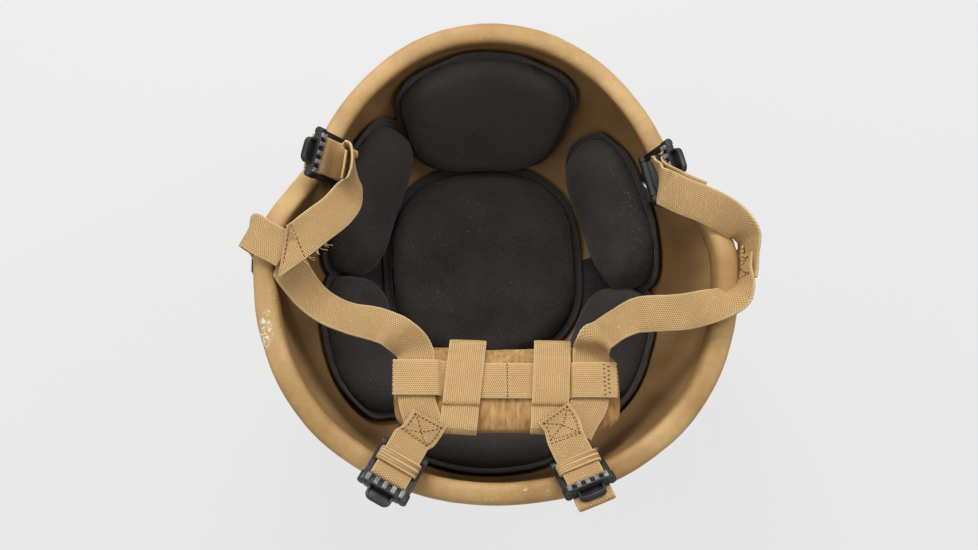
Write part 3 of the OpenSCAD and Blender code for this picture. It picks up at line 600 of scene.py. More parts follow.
# the pale grey of the buckle ribs is partly painted highlight on their faces and partly worn
# plastic
wornHighlightLook = blackPlastic("ribsWornHighlight", srgb(100, 101, 104), srgb(176, 177, 180), 0.34)
hookLook = blackPlastic("hookTape", srgb(26, 23, 22), srgb(40, 36, 34), 0.8)
steelLook = metalMaterial("hingeSteel", srgb(170, 172, 176), 0.38)
paintedLook = metalMaterial("paintedScrew", srgb(170, 136, 92), 0.55, 0.0)
print("materials ready")


# Camera and light
cameraView = {
    "target": (0.0, 0.0, 100.0), "distance": 850.0, "sway": 3.3, "lean": 10.0,
    "focalPixels": 1450.0, "imageWidth": 978.0, "axisRight": 2.0, "axisUp": 11.0,
}  # fmt: skip


def makeCamera(v):
    sway, lean = math.radians(v["sway"]), math.radians(v["lean"])
    back = Vector(
        (-math.sin(sway), -math.sin(lean) * math.cos(sway), math.cos(lean) * math.cos(sway))
    )
    right = Vector((0, 1, 0)).cross(back).normalized()
    up = back.cross(right)
    data = bpy.data.cameras.new("photoCamera")
    camera = makeObject("photoCamera", data)
    camera.matrix_world = Matrix((right, up, back)).transposed().to_4x4()
    camera.location = Vector(placed(v["target"])) + back * v["distance"] * mm
    data.sensor_width = 36.0
    data.lens = v["focalPixels"] * data.sensor_width / v["imageWidth"]
    data.shift_x = -v["axisRight"] / v["imageWidth"]
    data.shift_y = -v["axisUp"] / v["imageWidth"]
    data.clip_start = 0.01
    scene.camera = camera


studio = {
    "backdrop": 0.83, "skyLevel": 0.42, "floorHalf": 3.0, "floorGlow": 0.86, "aim": (0, 0, 0.1),
    "key": {"power": 4.8, "size": 0.4, "at": (-0.15, 0.62, 0.68)},
    "fill": {"power": 2.9, "size": 0.5, "at": (0.75, 0.3, 0.85)},
    "low": {"power": 2.1, "size": 0.5, "at": (-0.8, -0.1, 0.85)},
}  # fmt: skip


def seenDirectly(tree):
    path = tree.nodes.new("ShaderNodeLightPath")
    seen = atLeast(outOf(path, "Is Camera Ray"), outOf(path, "Is Glossy Ray"))
    return atLeast(seen, outOf(path, "Is Transmission Ray"))


def makeStudio(v):
    world = bpy.data.worlds.new("studio")
    scene.world = world
    world.use_nodes = True
    tree = world.node_tree
    background = tree.nodes["Background"]
    level = mixColours(tree, seenDirectly(tree), [v["skyLevel"]] * 3, [v["backdrop"]] * 3)
    plug(tree, background.inputs["Color"], level)
    for name in ("key", "fill", "low"):
        lamp = v[name]
        data = bpy.data.lights.new(name + "Light", "AREA")
        data.energy = lamp["power"]
        data.size = lamp["size"]
        light = makeObject(name + "Light", data)
        light.location = lamp["at"]
        aim = Vector(v["aim"]) - Vector(lamp["at"])
        light.rotation_mode = "QUATERNION"
        light.rotation_quaternion = aim.to_track_quat("-Z", "Y")
    half = v["floorHalf"]
    corners = [(-half, -half, 0), (half, -half, 0), (half, half, 0), (-half, half, 0)]
    pale = (v["backdrop"],) * 3 + (1.0,)
    paper, paperTree, shader = newMaterial("paleFloor", Roughness=0.9, Base_Color=pale)
    glow = addNode(paperTree, "ShaderNodeEmission", {"Color": pale})
    blend = addNode(paperTree, "ShaderNodeMixShader")
    plug(paperTree, blend.inputs[0], seenDirectly(paperTree) * v["floorGlow"])
    paperTree.links.new(shader.outputs[0], blend.inputs[1])
    paperTree.links.new(glow.outputs[0], blend.inputs[2])
    output = next(n for n in paperTree.nodes if n.type == "OUTPUT_MATERIAL")
    paperTree.links.new(blend.outputs[0], output.inputs["Surface"])
    floor = makeObject("floor", makeMesh("floor", corners, [(0, 1, 2, 3)], [paper], False))
    scene.view_settings.view_transform = "Standard"


makeCamera(cameraView)
makeStudio(studio)
print("camera and light ready")


# Shell and edge trim, grown from one grid each by the rule of the shell
def gridFields(tree, azimuthSteps, rows):
    grid = addNode(tree, "GeometryNodeMeshGrid", {"Size X": 1.0, "Size Y": 1.0})
    plug(tree, grid.inputs["Vertices X"], azimuthSteps)
    plug(tree, grid.inputs["Vertices Y"], rows)
    place = addNode(tree, "GeometryNodeInputPosition")
    parts = addNode(tree, "ShaderNodeSeparateXYZ", {"Vector": outOf(place)})
    return outOf(grid, "Mesh"), outOf(parts, "X") * 360, outOf(parts, "Y")


def setPlaces(tree, geometry, azimuth, radius, height):
    x = (radius * sine(azimuth) + float(fromAxis[0])) * mm
    y = (radius * cosine(azimuth) + float(fromAxis[1])) * mm
    spot = addNode(tree, "ShaderNodeCombineXYZ", {"X": x, "Y": y, "Z": height * mm})
    moved = addNode(
        tree, "GeometryNodeSetPosition", {"Geometry": geometry, "Position": outOf(spot)}
    )
    merged = addNode(
        tree, "GeometryNodeMergeByDistance", {"Geometry": outOf(moved), "Distance": 1e-5}
    )
    return outOf(addNode(tree, "GeometryNodeSetShadeSmooth", {"Geometry": outOf(merged)}))


def shellTree():
    tree, wires = newTree(
        "shellByRule",
        {**shellSizes, "Azimuth Steps": 181, "Rows": 92, "Dome Share": 0.68, "Material": None},
    )
    geometry, azimuth, y = gridFields(tree, wires["Azimuth Steps"], wires["Rows"])
    t = y + 0.5
    inside = t.math("GREATER_THAN", 0.5)
    stored = addNode(
        tree, "GeometryNodeStoreNamedAttribute", {"Geometry": geometry, "Name": "inside"},
        data_type="FLOAT", domain="POINT",
    )  # fmt: skip
    valueSocket = next(s for s in stored.inputs if s.name == "Value" and s.enabled)
    plug(tree, valueSocket, inside)
    inset = wires["Wall"] * inside
    perSide = wires["Rows"] / 2 - 1
    along = atMost(t, 1 - t) * (wires["Rows"] - 1) / perSide
    dome = atMost(along / wires["Dome Share"], 1.0) * 90
    above = atLeast((along - wires["Dome Share"]) / (1 - wires["Dome Share"]), 0.0)
    square = 2 / wires["Dome Power"]
    belt = wires["Belt Height"]
    domeHeight = belt - (belt - inset) * power(cosine(dome), square)
    height = domeHeight + (rimHeight(wires, azimuth) - belt) * above
    radius = (wallRadius(wires, azimuth, height) - inset) * power(sine(dome), square)
    shaped = setPlaces(tree, outOf(stored), azimuth, radius, height)
    closeTree(tree, shaped, wires["Material"])
    return tree


trimSizes = {
    "Arch Half Width": 5.9, "Arch Height": 4.6, "Arch Drop": 2.5, "Arch Power": 2.5,
    "Lip Depth": 12.0, "Lip Taper": 1.5, "Arch Share": 0.62,
}  # fmt: skip
trimWall = 0.9
trimWobble = {"slow": (46, 3, 0.16), "quick": (11, 4, 0.05), "rise": (60, 5, 0.12)}
# each is the scale of the waves, their seed and their depth


def trimTree():
    tree, wires = newTree(
        "trimAlongRim",
        {**shellSizes, **trimSizes, "Azimuth Steps": 361, "Rows": 33, "Material": None},
    )
    geometry, azimuth, y = gridFields(tree, wires["Azimuth Steps"], wires["Rows"])
    q = y * 2
    m = unsigned(q)
    side = q.math("SIGN")
    angle = (1 - atMost(m / wires["Arch Share"], 1.0)) * 90
    bend = 2 / wires["Arch Power"]
    lip = atLeast((m - wires["Arch Share"]) / (1 - wires["Arch Share"]), 0.0)
    arch = wires["Arch Half Width"] * power(cosine(angle), bend)
    out = side * (arch - wires["Lip Taper"] * lip * lip)
    rise = wires["Arch Height"] * power(sine(angle), bend) - wires["Arch Drop"]
    height = rimHeight(wires, azimuth) + rise - (wires["Lip Depth"] - wires["Arch Drop"]) * lip
    radius = skinRadius(wires, azimuth, height, wires["Wall"] / 2 - out)
    shaped = setPlaces(tree, geometry, azimuth, radius, height)
    closeTree(tree, shaped, wires["Material"])
    return tree


def makeShell():
    mesh = growMesh("helmet_shell", shellTree(), {**shellSizes, "Material": shellLook})
    faceOutwards(mesh)
    shell = makeObject("helmet_shell", mesh)
    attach(shell, helmetBody)
    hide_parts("shell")


def wobbleOf(points, kind):
    scale, seed, depth = trimWobble[kind]
    return softNoise(points / mm, scale, seed) * depth


def makeTrim():
    mesh = growMesh("rim_trim", trimTree(), {**shellSizes, **trimSizes, "Material": trimLook})
    points = pointsOf(mesh)
    outward = points - placed([0, 0, 0]) * np.array([1, 1, 0])
    outward[:, 2] = 0
    if (np.array([p.normal for p in mesh.polygons])[:, 2].sum()) < 0:
        mesh.flip_normals()
    wobble = wobbleOf(points, "slow") + wobbleOf(points, "quick")
    points += unit(outward) * (wobble * mm)[:, None]
    points[:, 2] += wobbleOf(points, "rise") * mm
    mesh.vertices.foreach_set("co", points.ravel())
    trim = makeObject("rim_trim", mesh)
    wall = trim.modifiers.new("wall", "SOLIDIFY")
    wall.thickness = trimWall * mm
    wall.offset = -1
    settleModifiers(trim)
    shadeSmooth(trim.data)
    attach(trim, helmetBody)
    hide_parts("edge_trim")


makeShell()
makeTrim()
print("shell and trim ready")


# Soft pieces: built flat, remeshed, swollen as cloth, then laid where they belong
def ringFaces(rings, count):
    faces = []
    for j in range(rings - 1):
        for i in range(count):
            a, b = j * count + i, j * count + (i + 1) % count
            faces.append((a, b, b + count, a + count))
    faces.append(tuple(range(count))[::-1])
    faces.append(tuple(range((rings - 1) * count, rings * count)))
    return faces


def flatCore(name, edge, profile):
    rings = []
    for back, height in profile:
        k = np.maximum(0.06, 1 - back / np.linalg.norm(edge, axis=1))
        rings.append(np.column_stack([edge * k[:, None], np.full(len(edge), height)]))
    mesh = makeMesh(name, np.vstack(rings) * mm, ringFaces(len(profile), len(edge)))
    faceOutwards(mesh)
    return mesh


swellFrames = 20


def swellAll(cores, voxel, pressure, caps):
    pieces = {}
    for name, mesh in cores.items():
        piece = makeObject(name + "Core", mesh)
        remesh = piece.modifiers.new("even", "REMESH")
        remesh.mode = "VOXEL"
        remesh.voxel_size = voxel * mm
        settleModifiers(piece)
        pieces[name] = piece
    rest = {n: pointsOf(p.data) / mm for n, p in pieces.items()}
    final = {n: r.copy() for n, r in rest.items()}
    for piece in pieces.values():
        cloth = piece.modifiers.new("swell", "CLOTH")
        cloth.settings.use_pressure = True
        cloth.settings.uniform_pressure_force = pressure
        cloth.settings.effector_weights.gravity = 0
    for step in range(1, swellFrames + 1):
        scene.frame_set(step)
    graph = bpy.context.evaluated_depsgraph_get()
    for name, piece in pieces.items():
        swollen = piece.evaluated_get(graph).data
        moved = pointsOf(swollen) / mm - rest[name]
        moved -= moved.mean(0)
        length = np.linalg.norm(moved, axis=1, keepdims=True)
        cap = caps[name]
        share = cap * np.tanh(length / cap) / np.maximum(length, 1e-6)
        final[name] += moved * np.minimum(1, share)
    scene.frame_set(1)
    for name, piece in pieces.items():
        piece.modifiers.clear()
    return pieces, final


padSizes = {
    "thickness": 18.0, "flange": 3.0, "flangeThickness": 2.2, "base": 9.6, "steps": 96,
    "voxel": 4.0, "pressure": 4.0, "swellCap": 3.6, "proud": 3.0, "flangeSteps": 288,
    "dent": 0.55, "fineDent": 0.18, "headroom": 1.2, "flangeWave": 0.35, "flangeLift": 0.8,
}  # fmt: skip
padLayout = {
    "crown_pad": (-4, 7, 0, 64, 61, 2.5, 0.0),
    "front_pad": (-1.5, 64.5, 0, 46.5, 41, 3.2, 0.13),
    "rear_pad": (180, 61, 0, 46, 31, 3.0, 0.12),
    "front_right_pad": (-60, 59.5, 12, 47, 31, 2.8, 0.0),
    "front_left_pad": (65, 60, -3, 48, 30.5, 2.8, 0.0),
    "rear_right_pad": (-119, 56, -14, 43, 29, 3.0, 0.0),
    "rear_left_pad": (121, 55.5, 8, 40, 30, 3.0, 0.0),
}  # azimuth, rise, turn, half width, half height, corner power, taper


def padEdge(layout, steps):
    _, _, _, w, h, corner, taper = layout
    w, h = w + padSizes["proud"], h + padSizes["proud"]
    a = np.arange(steps) * 2 * math.pi / steps
    c, s = np.cos(a), np.sin(a)
    r = ((np.abs(c) / w) ** corner + (np.abs(s) / h) ** corner) ** (-1 / corner)
    v = r * s
    return np.column_stack([r * c * (1 + taper * v / h), v])


def layOnWall(layout, flat):
    azimuth, rise, turn = layout[:3]
    down = np.array([sine(rise) * sine(azimuth), sine(rise) * cosine(azimuth), -cosine(rise)])
    along = np.array([cosine(azimuth), -sine(azimuth), 0.0])
    toward = np.array([cosine(rise) * sine(azimuth), cosine(rise) * cosine(azimuth), sine(rise)])
    first = along * cosine(turn) + toward * sine(turn)
    second = toward * cosine(turn) - along * sine(turn)
    q = np.maximum(np.hypot(flat[:, 0], flat[:, 1]), 1e-6)
    angle = q / (shellSizes["Belt Height"] - padSizes["base"])
    sideways = (first * flat[:, :1] + second * flat[:, 1:2]) / q[:, None]
    directions = down * np.cos(angle)[:, None] + sideways * np.sin(angle)[:, None]
    return onWall(directions, padSizes["base"] + flat[:, 2])


def padCore(name, layout):
    s = padSizes
    f, h, t = s["flange"], layout[4], s["thickness"]
    profile = [
        (h * 0.7, t - 1.0), (h * 0.4, t - 1.6), (f + 6.5, t - 2.8), (f + 2.6, t - 5.0),
        (f + 0.2, t - 8.5), (f - 0.8, t - 12), (f - 0.2, 3.0), (f + 1.2, 0.5), (h * 0.5, 0.5),
    ]  # fmt: skip
    return flatCore(name, padEdge(layout, s["steps"]), profile)


def flangeRing(layout, seed):
    s = padSizes
    f, t, steps = s["flange"], s["flangeThickness"], s["flangeSteps"]
    edge = padEdge(layout, steps)
    turn = np.arange(steps) * 2 * math.pi / steps
    wave = softNoise(np.column_stack([edge, turn * 0]), 34, seed)
    profile = [
        (f + 2.6, t + 0.4), (f + 0.2, t), (2.2, t - 0.2), (1.9, t - 0.7), (1.5, t - 0.7),
        (1.2, t - 0.2), (0.4, t - 0.6), (0.0, t * 0.5), (0.4, 0.25), (f + 2.6, 0.1),
    ]  # fmt: skip
    rings = []
    for back, height in profile:
        outerShare = 1 - min(1, back / (f + 2))
        k = 1 - (back + wave * s["flangeWave"] * outerShare) / np.linalg.norm(edge, axis=1)
        lift = np.maximum(0, wave) * s["flangeLift"] * outerShare
        rings.append(np.column_stack([edge * k[:, None], height + lift]))
    count = len(profile)
    faces = []
    for j in range(count):
        for i in range(steps):
            a, b = j * steps + i, j * steps + (i + 1) % steps
            c, d = ((j + 1) % count) * steps + (i + 1) % steps, ((j + 1) % count) * steps + i
            faces.append((a, b, c, d))
    return np.vstack(rings), faces


def finishSoft(name, parts, material):
    piece = makeObject(name, joinMeshes(name, parts))
    piece.data.materials.clear()
    piece.data.materials.append(material)
    faceOutwards(piece.data)
    shadeSmooth(piece.data)
    return piece


def rounded(core, points):
    setPoints(core.data, points * mm)
    smooth = core.modifiers.new("round", "SUBSURF")
    smooth.levels = smooth.render_levels = 1
    settleModifiers(core)
    return pointsOf(core.data) / mm


napeSizes = {
    "center": (6.0, -76.0, 146.0), "tilt": 13.5, "shift": 0.6, "width": 128.0, "height": 52.0,
    "thickness": 12.0, "corner": 5.2,
}  # fmt: skip
cupSizes = {
    "width": 42.0, "height": 72.0, "thickness": 8.5, "corner": 3.0, "at": (134.2, -10.5, 95.0),
}  # fmt: skip
pipedEdge = {"back": 4.5, "width": 1.3, "depth": 0.55}  # sewn groove round both suede pieces


def roundEdge(width, height, corner, steps):
    a = np.arange(steps) * 2 * math.pi / steps
    c, s = np.cos(a), np.sin(a)
    r = ((np.abs(c) * 2 / width) ** corner + (np.abs(s) * 2 / height) ** corner) ** (-1 / corner)
    return np.column_stack([r * c, r * s])


def cushionCore(name, sizes, shrink):
    t = sizes["thickness"]
    profile = [
        (14, t - 1.6), (6, t - 2.2), (2.8, t - 3.4), (shrink + 0.4, t * 0.66),
        (shrink, t * 0.5), (shrink + 0.6, t * 0.3), (3.4, 1.2), (12, 0.7),
    ]  # fmt: skip
    edge = roundEdge(sizes["width"], sizes["height"], sizes["corner"], 96)
    return flatCore(name, edge, profile)


def nape(u, v, h):
    s = napeSizes
    tilt = math.radians(s["tilt"])
    u, v, h = np.broadcast_arrays(*(np.asarray(x, float) for x in (u, v, h)))
    y = v * math.cos(tilt) + h * math.sin(tilt)
    z = h * math.cos(tilt) - v * math.sin(tilt)
    return np.array(s["center"]) + np.stack([u, y, z], -1)


def makeSoftPieces():
    s = padSizes
    cores = {name: padCore(name, layout) for name, layout in padLayout.items()}
    cores["nape_pad"] = cushionCore("nape_pad", napeSizes, 0.3)
    cores["chin_cup"] = cushionCore("chin_cup", cupSizes, 1.0)
    caps = dict.fromkeys(padLayout, s["swellCap"]) | {"nape_pad": 2.0, "chin_cup": 1.6}
    pieces, swollen = swellAll(cores, s["voxel"], s["pressure"], caps)
    for number, (name, layout) in enumerate(padLayout.items()):
        points = swollen[name]
        low = np.minimum(1, np.maximum(0, points[:, 2] - 0.5) / 7)
        dent = softNoise(points, 44, 20 + number) * s["dent"]
        dent += softNoise(points, 15, 40 + number) * s["fineDent"]
        points[:, 2] = np.maximum(0.3, points[:, 2] + dent * low)
        points[:, 2] = np.minimum(points[:, 2], s["thickness"] + s["headroom"])
        core = pieces[name]
        fine = rounded(core, points)
        setPoints(core.data, placed(layOnWall(layout, fine)))
        ring, faces = flangeRing(layout, 60 + number)
        flange = makeMesh(name + "Flange", placed(layOnWall(layout, ring)), faces)
        pad = finishSoft(name + "_cushion", [(core.data, None), (flange, None)], padLook)
        bpy.data.objects.remove(core)
        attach(pad, helmetBody)
        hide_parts(name)
    for name, sizes in (("nape_pad", napeSizes), ("chin_cup", cupSizes)):
        core = pieces[name]
        points = swollen[name]
        half = np.array([sizes["width"], sizes["height"]]) / 2
        back = np.min(half - np.abs(points[:, :2]), axis=1)
        groove = np.exp(-(((back - pipedEdge["back"]) / pipedEdge["width"]) ** 2))
        groove = groove * (points[:, 2] > sizes["thickness"] * 0.55)  # on the upper face only
        points[:, 2] += softNoise(points, 30, 90) * 0.3 - groove * pipedEdge["depth"]
        points[:, 2] = np.clip(points[:, 2], 0.1, sizes["thickness"] - 0.1)
        fine = rounded(core, points)
        if name == "nape_pad":
            world = nape(fine[:, 0] + sizes["shift"], fine[:, 1], fine[:, 2] - sizes["thickness"])
        else:
            world = np.array(sizes["at"]) + np.column_stack([fine[:, 2], fine[:, 0], fine[:, 1]])
        setPoints(core.data, placed(world))
        cushion = finishSoft(name + "_cushion", [(core.data, None)], suedeLook)
        bpy.data.objects.remove(core)
        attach(cushion, helmetBody)
        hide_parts(name)


makeSoftPieces()
print("pads ready")


# Strap mounts: axes x out through the wall, y along the rim, z up the wall. Each bracket is
# turned about its bolt and its barrel canted, both towards the ear.
mountSpots = {
    "front_right": (-59.5, 55, -4, 11), "front_left": (62.0, 66, 8, -11),
    "rear_right": (-157.5, 38, 5, -8), "rear_left": (161.0, 60, -1, 5),
}  # azimuth, lift of the buckle, turn, cant  # fmt: skip
mountSizes = {"boltDrop": 25.0, "hingeIn": -16.9, "hingeUp": 4.0}


def turnAbout(axis, degrees):
    full = np.eye(4)
    full[:3, :3] = np.array(Matrix.Rotation(math.radians(degrees), 3, axis))
    return full


def slideBy(x, y, z):
    full = np.eye(4)
    full[:3, 3] = (x, y, z)
    return full


def mountMatrix(name):
    azimuth, _, turn, _ = mountSpots[name]
    along = unit(rimAt(azimuth - 1.0) - rimAt(azimuth + 1.0))
    origin = rimAt(azimuth)
    drop = mountSizes["boltDrop"]
    chord = origin - skin(azimuth, rimHeight(shellSizes, azimuth) - drop, 0)
    up = unit(chord - (chord @ along) * along)
    matrix = np.eye(4)
    for column, vector in enumerate((np.cross(along, up), along, up, origin)):
        matrix[:3, column] = vector
    return matrix @ slideBy(0, 0, -drop) @ turnAbout("X", turn) @ slideBy(0, 0, drop)


def hubMatrix(name):
    toHinge = slideBy(mountSizes["hingeIn"], 0, mountSizes["hingeUp"])
    return mountMatrix(name) @ toHinge @ turnAbout("Z", mountSpots[name][3])


def buckleMatrix(name):
    return hubMatrix(name) @ turnAbout("Y", -mountSpots[name][1])


def applyMatrix(matrix, points):
    return np.asarray(points, float) @ matrix[:3, :3].T + matrix[:3, 3]


def framed(matrix):
    full = matrix.copy()
    full[:3, 3] += fromAxis
    full[:3, :] *= mm
    return Matrix(full.tolist())


# Webbing ribbons: stations are [x, y, z, across x, across y, across z]
class Ribbon:
    def __init__(self, stations, width=webbing["width"], perSpan=20):
        self.width = width
        s = np.asarray(stations, float)
        padded = np.vstack([s[:1], s, s[-1:]])
        dense = []
        for i in range(1, len(padded) - 2):
            a, b, c, d = padded[i - 1 : i + 3]
            for t in np.arange(perSpan) / perSpan:
                dense.append(
                    0.5 * (2 * b + (c - a) * t + (2 * a - 5 * b + 4 * c - d) * t * t
                           + (3 * b - a - 3 * c + d) * t**3)
                )  # fmt: skip
        dense.append(padded[-1])
        dense = np.array(dense)
        steps = np.linalg.norm(np.diff(dense[:, :3], axis=0), axis=1)
        run = np.concatenate([[0], np.cumsum(steps)])
        self.length = run[-1]
        count = max(4, int(round(self.length / webbing["step"])) + 1)
        self.run = np.linspace(0, self.length, count)
        even = np.column_stack([np.interp(self.run, run, dense[:, k]) for k in range(6)])
        self.middle = even[:, :3]
        self.tangent = unit(np.gradient(self.middle, axis=0))
        lateral = even[:, 3:]
        lateral = lateral - np.sum(lateral * self.tangent, 1)[:, None] * self.tangent
        self.lateral = unit(lateral)
        self.normal = np.cross(self.tangent, self.lateral)

    def at(self, across, run, lift=0.0):
        run = np.clip(run, 0, self.length)
        cast = [
            np.column_stack([np.interp(run, self.run, field[:, k]) for k in range(3)])
            for field in (self.middle, self.lateral, self.normal)
        ]
        across, lift = (np.broadcast_to(x, np.shape(run)) for x in (across, lift))
        return cast[0] + cast[1] * across[:, None] + cast[2] * lift[:, None]


def ribbonMesh(
    name, ribbon, material, curl=0.0, seed=1, rawEnds=(False, False), weave=1.0, slack=0.12,
    skewStart=0.0, skewEnd=0.0, skewRun=20.0,
):  # fmt: skip
    w = webbing
    cols = int(round(ribbon.width / w["step"])) + 1
    x = np.linspace(-ribbon.width / 2, ribbon.width / 2, cols)
    rows = len(ribbon.run)
    share = np.abs(2 * x / ribbon.width)
    half = w["thickness"] / 2 * (1 - w["edgeThin"] * share**9)
    grid = np.zeros((rows, cols))
    grid[::2, ::4] = grid[1::2, 2::4] = w["weaveHeight"] * weave
    rng = np.random.default_rng(seed)
    spots = np.column_stack([ribbon.run, ribbon.run * 0, ribbon.run * 0])
    sway = softNoise(spots, 24, seed) * slack
    curlShape = curl * (share**2 - 0.33)
    ripple = np.zeros((rows, cols))
    ripple[:, -1] = w["edgeRipple"] * (np.arange(rows) % 2)
    ripple[:, 0] = -ripple[:, -1]
    ends = np.zeros((rows, cols))
    if rawEnds[0]:
        ends[0] = -rng.uniform(0, w["rawEnd"], cols)
    if rawEnds[1]:
        ends[-1] = rng.uniform(0, w["rawEnd"], cols)
    nearStart = ease(1 - ribbon.run / skewRun)[:, None]
    nearEnd = ease(1 - (ribbon.length - ribbon.run) / skewRun)[:, None]
    ends += x[None, :] * (skewStart * nearStart + skewEnd * nearEnd)
    layers = []
    for side in (1, -1):
        lift = side * (half[None, :] + grid) + curlShape[None, :] + sway[:, None]
        points = (
            ribbon.middle[:, None, :]
            + ribbon.lateral[:, None, :] * (x[None, :, None] + ripple[:, :, None])
            + ribbon.normal[:, None, :] * lift[:, :, None]
            + ribbon.tangent[:, None, :] * ends[:, :, None]
        )
        layers.append(points.reshape(-1, 3))
    index = np.arange(rows * cols).reshape(rows, cols)
    a, b, c, d = index[:-1, :-1], index[:-1, 1:], index[1:, 1:], index[1:, :-1]
    top = np.stack([a, d, c, b], -1).reshape(-1, 4)
    bottom = top[:, ::-1] + rows * cols
    under = index + rows * cols
    left = np.stack([index[:-1, 0], under[:-1, 0], under[1:, 0], index[1:, 0]], -1)
    right = np.stack([index[:-1, -1], index[1:, -1], under[1:, -1], under[:-1, -1]], -1)
    first = np.stack([index[0, :-1], index[0, 1:], under[0, 1:], under[0, :-1]], -1)
    last = np.stack([index[-1, :-1], under[-1, :-1], under[-1, 1:], index[-1, 1:]], -1)
    faces = np.vstack([top, bottom, left, right, first, last])
    mesh = makeMesh(name, placed(np.vstack(layers)), faces, [material])
    uv = np.stack(np.broadcast_arrays(x[None, :], ribbon.run[:, None]), -1).reshape(-1, 2)
    uv = np.vstack([uv, uv])
    layer = mesh.uv_layers.new(name="weave")
    loops = np.zeros(len(mesh.loops), int)
    mesh.loops.foreach_get("vertex_index", loops)
    layer.data.foreach_set("uv", uv[loops].ravel())
    return mesh


def keepWound(mesh):
    work = bmesh.new()
    work.from_mesh(mesh)
    if work.calc_volume(signed=True) < 0:
        bmesh.ops.reverse_faces(work, faces=work.faces)
        work.to_mesh(mesh)
    work.free()


def strapPiece(name, ribbon, material, nodes, body=helmetBody, **shape):
    mesh = ribbonMesh(name, ribbon, material, **shape)
    keepWound(mesh)
    piece = makeObject(name, mesh)
    if body:
        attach(piece, body)
    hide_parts(*nodes)
    return piece


def blendPiece(piece, body, start, end):
    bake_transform(piece)


# Stitches: a thread capsule at even steps along a line
def stitchTree():
    tree, wires = newTree(
        "stitchesAlongLine",
        {"Pitch": 2.0, "Stitch Length": 1.5, "Thread": 0.26, "Material": None},
    )
    curve = addNode(tree, "GeometryNodeMeshToCurve", {"Mesh": wires["Geometry"]})
    inputs = {"Curve": outOf(curve), "Length": wires["Pitch"] * mm}
    even = addNode(tree, "GeometryNodeResampleCurve", inputs, mode="LENGTH")
    tangent = addNode(tree, "GeometryNodeInputTangent")
    turned = addNode(
        tree, "FunctionNodeAlignRotationToVector", {"Vector": outOf(tangent)}, axis="Z"
    )
    bead = addNode(tree, "GeometryNodeMeshUVSphere", {"Segments": 6, "Rings": 5, "Radius": 1.0})
    thread, half = wires["Thread"] * mm, wires["Stitch Length"] * (mm / 2)
    shape = addNode(tree, "ShaderNodeCombineXYZ", {"X": thread, "Y": thread, "Z": half})
    sized = addNode(
        tree, "GeometryNodeTransform", {"Geometry": outOf(bead), "Scale": outOf(shape)}
    )
    placedOn = addNode(
        tree, "GeometryNodeInstanceOnPoints",
        {"Points": outOf(even), "Instance": outOf(sized), "Rotation": outOf(turned)},
    )  # fmt: skip
    closeTree(tree, outOf(placedOn), wires["Material"])
    return tree


stitchWork = stitchTree()


def lineOn(ribbon, first, last, lift):
    count = max(2, int(np.hypot(last[0] - first[0], last[1] - first[1])) + 1)
    across = np.linspace(first[0], last[0], count)
    run = np.linspace(first[1], last[1], count)
    return ribbon.at(across, run, lift)


def stitchesOn(name, lines, material, pitch=2.1, length=1.6, thread=0.27):
    points, edges = [], []
    for line in lines:
        first = len(points)
        points += placed(line).tolist()
        edges += [(first + i, first + i + 1) for i in range(len(line) - 1)]
    source = bpy.data.meshes.new(name + "Line")
    source.from_pydata(points, edges, [])
    values = {"Pitch": pitch, "Stitch Length": length, "Thread": thread, "Material": material}
    mesh = growMesh(name, stitchWork, values, source)
    shadeSmooth(mesh)
    piece = makeObject(name, mesh)
    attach(piece, helmetBody)


def boxCross(ribbon, low, high, half, lift):
    a, b, c, d = (-half, low), (half, low), (half, high), (-half, high)
    pairs = [(a, b), (b, c), (c, d), (d, a), (a, c), (b, d)]
    return [lineOn(ribbon, first, last, lift) for first, last in pairs]


# Harness routes, as stations along the middle of each strap
def stationsOn(matrix, path, side=1.0):
    rows = []
    for x, z in path:
        spot = applyMatrix(matrix, [[x, 0, z]])[0]
        rows.append([*spot, *(matrix[:3, 1] * side * webbing["width"])])
    return rows


def polar(radius, degrees):
    return radius * math.cos(math.radians(degrees)), radius * math.sin(math.radians(degrees))


buckleSizes = {
    "reach": 24.0, "barWidth": 5.0, "barThick": 4.2, "armIn": 10.4, "armOut": 13.6,
    "armThick": 3.2, "eye": 3.2, "smoothBar": 1.5, "tabRun": 6.6, "tabWidth": 14.6,
    "ribCount": 5, "ribPitch": 5.0, "ribWidth": 2.6, "ribHeight": 1.6, "toothPitch": 1.9,
    "toothCount": 11, "barInset": 1.2, "rodInset": 0.5, "ridgeAt": 12.9, "cornerAt": 11.9,
    "cornerRound": 2.5, "lipHalf": 10, "lipWidth": 1.3, "lipRise": 1.1,
}  # fmt: skip
heldPath = [
    (6.7, 3.8), (12.0, 2.6), (18.6, 2.2), (20.0, 0.5), (20.2, -2.3), (21.4, -3.4), (25.8, -3.4),
]  # over the smooth bar, down before the teeth and out under the toothed bar  # fmt: skip
tailFold = [(26.5, -3.4), (31.5, -3.6), (33.4, -4.8), (31.5, -6.2), (24.0, -6.1)]
barrelWrap = 4.5  # radius of the strap's middle over the hinge barrel


def nape3(u, v, h, du, dv):
    first = nape(u, v, h)
    return [*first, *(nape(u + du, v + dv, h) - first)]


